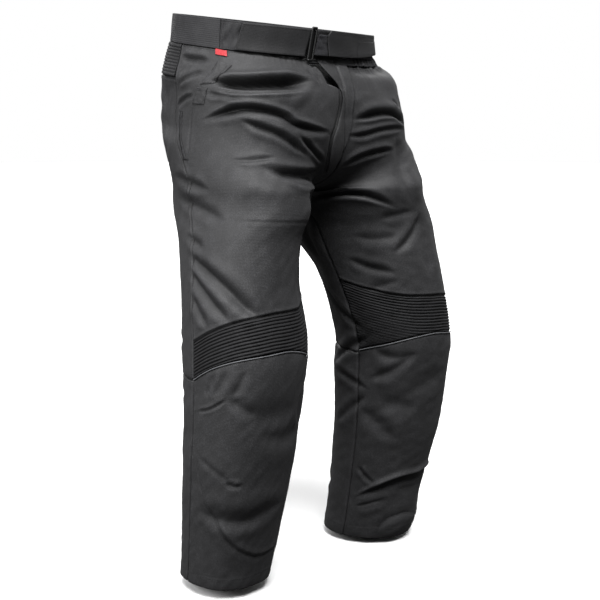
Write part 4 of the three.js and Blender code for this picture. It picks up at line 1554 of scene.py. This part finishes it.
@dataclass(frozen=True)
class Belt:
    """Adjusting strap at the right, black loop, pile strip through it, and the left tab over the strip.

    `wire` is the half thickness of the loop's wire, `reach` and `rise` its half width and half height.
    """

    wire: float = 1.7
    reach: float = 4.6
    rise: float = 26.5

    def build(self, looks: Looks) -> None:
        """Args:
            looks: materials by slot.
        """
        def strap_off(p: Array, q: Array) -> Array:
            """The strap stands off further towards the loop, with a slow wave."""
            return 2.4 + (LOOP_OFF - 3.4) * smooth(p) + 0.5 * ripple(p * 120, q * 44, 46, 21)

        def strap_skew(p: Array, q: Array) -> Arrays:
            """Its sewn end is cut on a slant, and its other end follows the loop."""
            return (q - 0.5) * (0.020 * (1 - p) + LOOP_SLANT * 44.5 * smooth(3 * p - 2)), 0 * q

        def pile_off(p: Array, q: Array) -> Array:
            """The pile strip falls back to the waistband under the tab."""
            return 1.6 + LOOP_OFF - 1 + (0.4 - LOOP_OFF + 1) * p + 0.5 * ripple(p * 60, q * 34, 9, 5)

        def pile_skew(p: Array, q: Array) -> Arrays:
            """Its visible end follows the loop."""
            return (q - 0.5) * LOOP_SLANT * 34 * smooth(1 - 3 * p), 0 * q

        def tab_off(p: Array, q: Array) -> Array:
            """The tab lies on the strip and is sewn down at its far end.

            Args:
                p: along the strip, 0 to 1.
                q: down it, 0 to 1.

            Returns:
                Distances out from the bare form.
            """
            high = LOOP_OFF + 0.6 + (4.4 - LOOP_OFF - 0.6) * smooth(p / 0.72)
            off = high + (0.4 - high) * smooth((p - 0.72) / 0.28)
            facing = 0.7 * smooth((p - 0.36 - 0.06 * (1 - q)) / 0.012) * smooth((q - 0.30) / 0.05)
            return 2.0 + off + facing + 0.45 * ripple(p * 170, q * 42, 40, 31)

        def tab_skew(p: Array, q: Array) -> Arrays:
            """Its free end has a cut corner at the top, and its lower edge rises towards the sewn end."""
            corner = -0.014 * np.clip(1 - q / 0.2, 0, 1) * np.clip(1 - p / 0.1, 0, 1)
            return corner, 9.0 * q * smooth(1.25 * p - 0.25)

        strap = Strip("belt_strap_cloth", (0.274, LOOP_G + 0.0124), 22, -22.5, strap_off, 2.0, 2.2, 1.2,
                      strap_skew)
        pile = Strip("belt_pile_cloth", (LOOP_G - 0.0124, -0.2), 15, -19, pile_off, 1.6, 1.6, 1.2, pile_skew)
        tab = Strip("belt_tab_cloth", (0.03, -0.28), 23, -19, tab_off, 2.0, 2.2, 1.2, tab_skew)
        pieces = (
            (strap, "belt_cloth", "belt_strap_right", (0.13, 0.0445)),
            (pile, "pile_tape", "belt_pile_strip", (0.15, 0.034)),
            (tab, "belt_cloth", "belt_tab_left", (0.18, 0.042)),
        )
        for strip, slot, node, flat in pieces:
            sewn(strip.build(), looks[slot], slot, node)
        rows = [strap.stitches((p, 0.04), (p, 0.96)) for p in (0.012, 0.032)]
        rows += [strap.stitches((0.01, q), (0.98, q)) for q in (0.055, 0.945)]
        rows += [tab.stitches((0.08, q), (0.99, q)) for q in (0.06, 0.12, 0.88, 0.94)]
        rows += [tab.stitches((0.02, 0.24), (0.02, 0.96)), tab.stitches((0.43, 0.30), (0.37, 0.96)),
                 tab.stitches((0.43, 0.30), (0.99, 0.30)), tab.stitches((0.975, 0.05), (0.975, 0.95))]
        dress(joined("topstitching_belt", rows), looks["thread"], None)
        self.loop(looks["black_plastic"])

    def loop(self, look: bpy.types.Material) -> None:
        """The rectangular loop, seen nearly on edge.

        Args:
            look: the plastic's material.
        """
        centre = round_at(np.array(LOOP_G), np.array(-2.0), np.array(LOOP_OFF))
        out = outward(np.array(LOOP_G), np.array(-3.0), -1.0)
        out[2] = 0
        along = np.cross((0, 0, 1), out / np.linalg.norm(out))
        up = np.array((0, 0.08, 1)) / math.hypot(0.08, 1) + 0.27 * along
        t = np.linspace(0, 2 * math.pi, 120, endpoint=False)
        power = 0.22
        a = self.reach * np.sign(np.cos(t)) * np.abs(np.cos(t)) ** power
        b = self.rise * np.sign(np.sin(t)) * np.abs(np.sin(t)) ** power
        line = centre + a[:, None] * along + b[:, None] * up
        keep = np.linalg.norm(np.diff(line, axis=0, append=line[:1]), axis=1) > 0.05
        bar = centre + np.linspace(-5.6, 5.6, 9)[:, None] * along
        ends = [bar - self.rise * up, bar + self.rise * up]
        # Painted shade: a flat black plate, set a little back, fills the loop's slit and stands in for the
        # dark gap through it
        middle = centre - 1.2 * out / np.linalg.norm(out) + np.linspace(-26, 26, 30)[:, None] * up
        tubes = [swept(line[keep], self.wire, 10, loop=True), swept(middle, 3.4, 12, 0.3)]
        tubes += [swept(end, 2.5, 12) for end in ends]
        dress(joined("belt_loop_plastic", tubes), look, "black_plastic", "belt_loop")


@dataclass(frozen=True)
class Fly:
    """The left front's placket over the opening and the flap behind it."""

    left: Panel
    right: Panel

    def build(self, looks: Looks) -> None:
        """Builds both pieces.

        Args:
            looks: materials by slot.
        """
        def under(p: Array, q: Array) -> Array:
            """Well inside the fronts."""
            return -12.0 + 0.8 * ripple(p * 80, q * 120, 30, 4)

        flap = Strip("fly_underlap_cloth", (-0.04, 0.09), -27, -150, under, 1.5, 3.0, 3.0)
        cloth = looks["shell_cloth"]
        sewn(flap.build(), cloth, "shell_cloth", "fly_underlap")
        outer, uv = self.grid(2.4)
        inner, _ = self.grid(1.0)
        placket = shell("fly_placket_cloth", outer, inner, uv)
        sewn(placket, cloth, "shell_cloth", "fly_placket")

    def grid(self, lift: float) -> Arrays:
        """Points over the placket from its free edge to its stitched edge.

        Args:
            lift: distance out from the fronts.

        Returns:
            Points and cloth coordinates.
        """
        q = steps(189, 0.9, 2.4, 6)[:, None]
        p = steps(45, 0.6, 1.8, 4)[None, :]
        z = FRONT_TOP - 0.4 + (PLACKET[-1, 0] - FRONT_TOP + 0.4) * q
        edge, stitch = np.moveaxis(column(PLACKET, z), -1, 0)
        g = edge + (stitch - edge) * p
        z = np.broadcast_to(z, g.shape)
        on_right = g > 0
        u = np.abs(g)
        spread = np.clip((g + 0.01) / 0.02, 0, 1)
        relief = spread * self.right.relief(u, z) * 0.6 + (1 - spread) * self.left.relief(u, z) * 0.8
        relief = np.clip(relief, -2.5, 3)
        free = bell(p * np.abs(edge - stitch) * GIRTH, 1.2)
        point = bare(u, z, 1.0)
        normal = outward(u, z, 1.0)
        normal[..., 0] *= np.clip(u / 0.004, 0, 1)
        point = point + normal * (relief + lift - 0.4 * free)[..., None]
        point[..., 0] *= np.where(on_right, -1, 1)
        return point, np.stack([g * GIRTH * MM, z * MM], -1)


FINISHES = {
    # Tightly woven matt polyester: dark grey, a faint dry sheen, and a painted sheen lightening the ridges;
    # weave seen only as a fine tooth
    "shell_cloth": Finish("Woven polyester", "#313132", "#464648", 0.56, 0.05, Weave.PLAIN, 1.1, 0.3, 0.28),
    # The same cloth, doubled for the waistband fronts, with a darker and more even tint: painted shade for
    # where the belt and tab lie over them
    "shaded_band_cloth": Finish("Polyester, painted darker", "#272729", "#343436", 0.58, 0.05, Weave.PLAIN, 1.1, 0.3, 0.26),
    # Knitted stretch cloth on the ribs: darker and softer, nearly no shine
    "stretch_cloth": Finish("Stretch knit", "#202021", "#2d2d2f", 0.7, 0.05, Weave.KNIT, 1.2, 0.3, 0.22),
    # Woven elastic: dense, matt, with its rubber cords showing as level lines
    "elastic_webbing": Finish("Woven elastic", "#2c2c2e", "#38383a", 0.65, 0.05, Weave.CORDED, 1.6, 0.35,
                              0.3),
    # The belt's doubled cloth: smoother and a little lighter on its flat face
    "belt_cloth": Finish("Belt cloth", "#242425", "#2f2f31", 0.6, 0.05, Weave.PLAIN, 1.1, 0.3, 0.25),
    # Brushed pile tape: a short fuzz that scatters the light
    "pile_tape": Finish("Brushed pile", "#27272a", "#38383c", 0.9, 0.15, Weave.FUZZY, 1.0, 0.9, 0.2),
    # Woven zip tape: fine and dark
    "zip_tape": Finish("Zip tape", "#252527", "#38383b", 0.66, 0.2, Weave.CORDED, 1.0, 0.3),
    # Glass-bead reflective piping: light grey and silky
    "reflective_piping": Finish("Reflective piping", "#545557", "#66676a", 0.5, 0.1, Weave.SMOOTH, 1.0, 0.15),
    # Red woven tape
    "red_tab": Finish("Red woven tape", "#b3262d", "#cf4a50", 0.6, 0.3, Weave.CORDED, 0.8, 0.3),
    # Moulded nylon: black, satin, sharp small highlights
    "black_plastic": Finish("Satin nylon", "#0d0d0e", "#161617", 0.42, 0.0, Weave.SMOOTH, 1.0, 0.08, 0.35),
    # Sewing thread: polyester filament, drawn into the cloth, so its rows read as fine dark lines
    "thread": Finish("Polyester thread", "#242426", "#2f2f31", 0.6, 0.05, Weave.SMOOTH, 1.0, 0.1),
}


def towards(azimuth: float, elevation: float) -> Vector:
    """Unit direction from the garment, for degrees round from its front and up from the horizon."""
    a, e = math.radians(azimuth), math.radians(elevation)
    return Vector((math.sin(a) * math.cos(e), -math.cos(a) * math.cos(e), math.sin(e)))


@dataclass(frozen=True)
class Studio:
    """Camera, lights, world and floor. `shift` is the lens shift as a share of the picture's width."""

    azimuth: float = -43.0
    elevation: float = 8.0
    distance: float = 1.93
    target: tuple[float, float, float] = (0.0, 0.0, -0.46)
    lens: float = 62.9
    shift: Pair = (25 / 600, -6 / 600)

    def build(self) -> None:
        """Sets them all up."""
        scene = bpy.context.scene
        away = towards(self.azimuth, self.elevation)
        eye = Vector(self.target) + away * self.distance
        lens = bpy.data.cameras.new("Camera")
        lens.lens, lens.sensor_width = self.lens, 36.0
        lens.shift_x, lens.shift_y = self.shift
        lens.clip_end = 100
        camera = bpy.data.objects.new("Camera", lens)
        camera.matrix_world = Matrix.Translation(eye) @ away.to_track_quat("Z", "Y").to_matrix().to_4x4()
        scene.collection.objects.link(camera)
        scene.camera = camera
        scene.view_settings.view_transform = "Standard"
        self.sun("Key", -36.0, 63.0, 5.3, 34.0)
        self.sun("Back", 142.0, 38.0, 2.2, 70.0)
        self.lamp("Rim left", (-2.6, 0.2, 0.7), 1.4, 54)
        self.lamp("Rim right", (2.4, -0.6, 0.3), 1.4, 3)
        self.surroundings(scene)
        self.floor()

    def sun(self, name: str, azimuth: float, elevation: float, strength: float, spread: float) -> None:
        """A distant soft light, even over garment and floor.

        Args:
            name: the light's name.
            azimuth: its direction round the garment, as for the camera, in degrees.
            elevation: above the horizon.
            strength: watts per square metre.
            spread: its apparent diameter in degrees.
        """
        light = bpy.data.lights.new(name, "SUN")
        light.energy, light.angle = strength, math.radians(spread)
        obj = bpy.data.objects.new(name, light)
        obj.matrix_world = towards(azimuth, elevation).to_track_quat("Z", "Y").to_matrix().to_4x4()
        bpy.context.scene.collection.objects.link(obj)

    def lamp(self, name: str, place: tuple[float, float, float], size: float, watts: float) -> None:
        """A soft square light aimed at the garment.

        Args:
            name: the light's name.
            place: its position in metres.
            size: its side in metres.
            watts: its power.
        """
        light = bpy.data.lights.new(name, "AREA")
        light.energy, light.size = watts, size
        obj = bpy.data.objects.new(name, light)
        spot = Vector(place)
        aim = (spot - Vector(self.target)).to_track_quat("Z", "Y")
        obj.matrix_world = Matrix.Translation(spot) @ aim.to_matrix().to_4x4()
        bpy.context.scene.collection.objects.link(obj)

    def surroundings(self, scene: bpy.types.Scene) -> None:
        """A white background that lights the garment only softly.

        Args:
            scene: the scene.
        """
        world = bpy.data.worlds.new("Studio")
        scene.world = world
        world.use_nodes = True
        tree = world.node_tree
        tree.nodes.clear()
        path = add(tree, "ShaderNodeLightPath")
        power = ranged(tree, path.outputs["Is Camera Ray"], (0.0, 1.0), (0.075, 1.0))
        white = add(tree, "ShaderNodeBackground", {"Strength": power}, Color=(1, 1, 1, 1))
        out = add(tree, "ShaderNodeOutputWorld")
        tree.links.new(white.outputs[0], out.inputs["Surface"])

    def floor(self) -> None:
        """A plain pale floor just under the hems."""
        half, z = 40.0, -0.94
        mesh = bpy.data.meshes.new("Floor")
        corners = [(x * half, y * half, z) for x, y in ((-1, -1), (1, -1), (1, 1), (-1, 1))]
        mesh.from_pydata(corners, [], [(0, 1, 2, 3)])
        obj = bpy.data.objects.new("Floor", mesh)
        bpy.context.scene.collection.objects.link(obj)
        material = bpy.data.materials.new("Pale floor")
        material.use_nodes = True
        skin = material.node_tree.nodes["Principled BSDF"]
        skin.inputs["Base Color"].default_value = linear("#f4f4f4")
        skin.inputs["Roughness"].default_value = 0.9
        mesh.materials.append(material)
        obj.visible_diffuse = False
        obj.visible_glossy = False


def main() -> None:
    """Builds the garment piece by piece and the studio round it."""
    logging.basicConfig(level=logging.INFO, format="%(name)s: %(message)s")
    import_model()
    looks = {slot: finish.build() for slot, finish in FINISHES.items()}
    right = Leg(Side.RIGHT, RIGHT_FOLDS, RIGHT_SEAMS)
    left = Leg(Side.LEFT, LEFT_FOLDS, LEFT_SEAMS)
    for leg in (right, left):
        leg.build(looks)
    Waist().build(looks)
    Belt().build(looks)
    Fly(left.panels()["thigh"], right.panels()["thigh"]).build(looks)
    Studio().build()


if __name__ == "__main__":
    main()
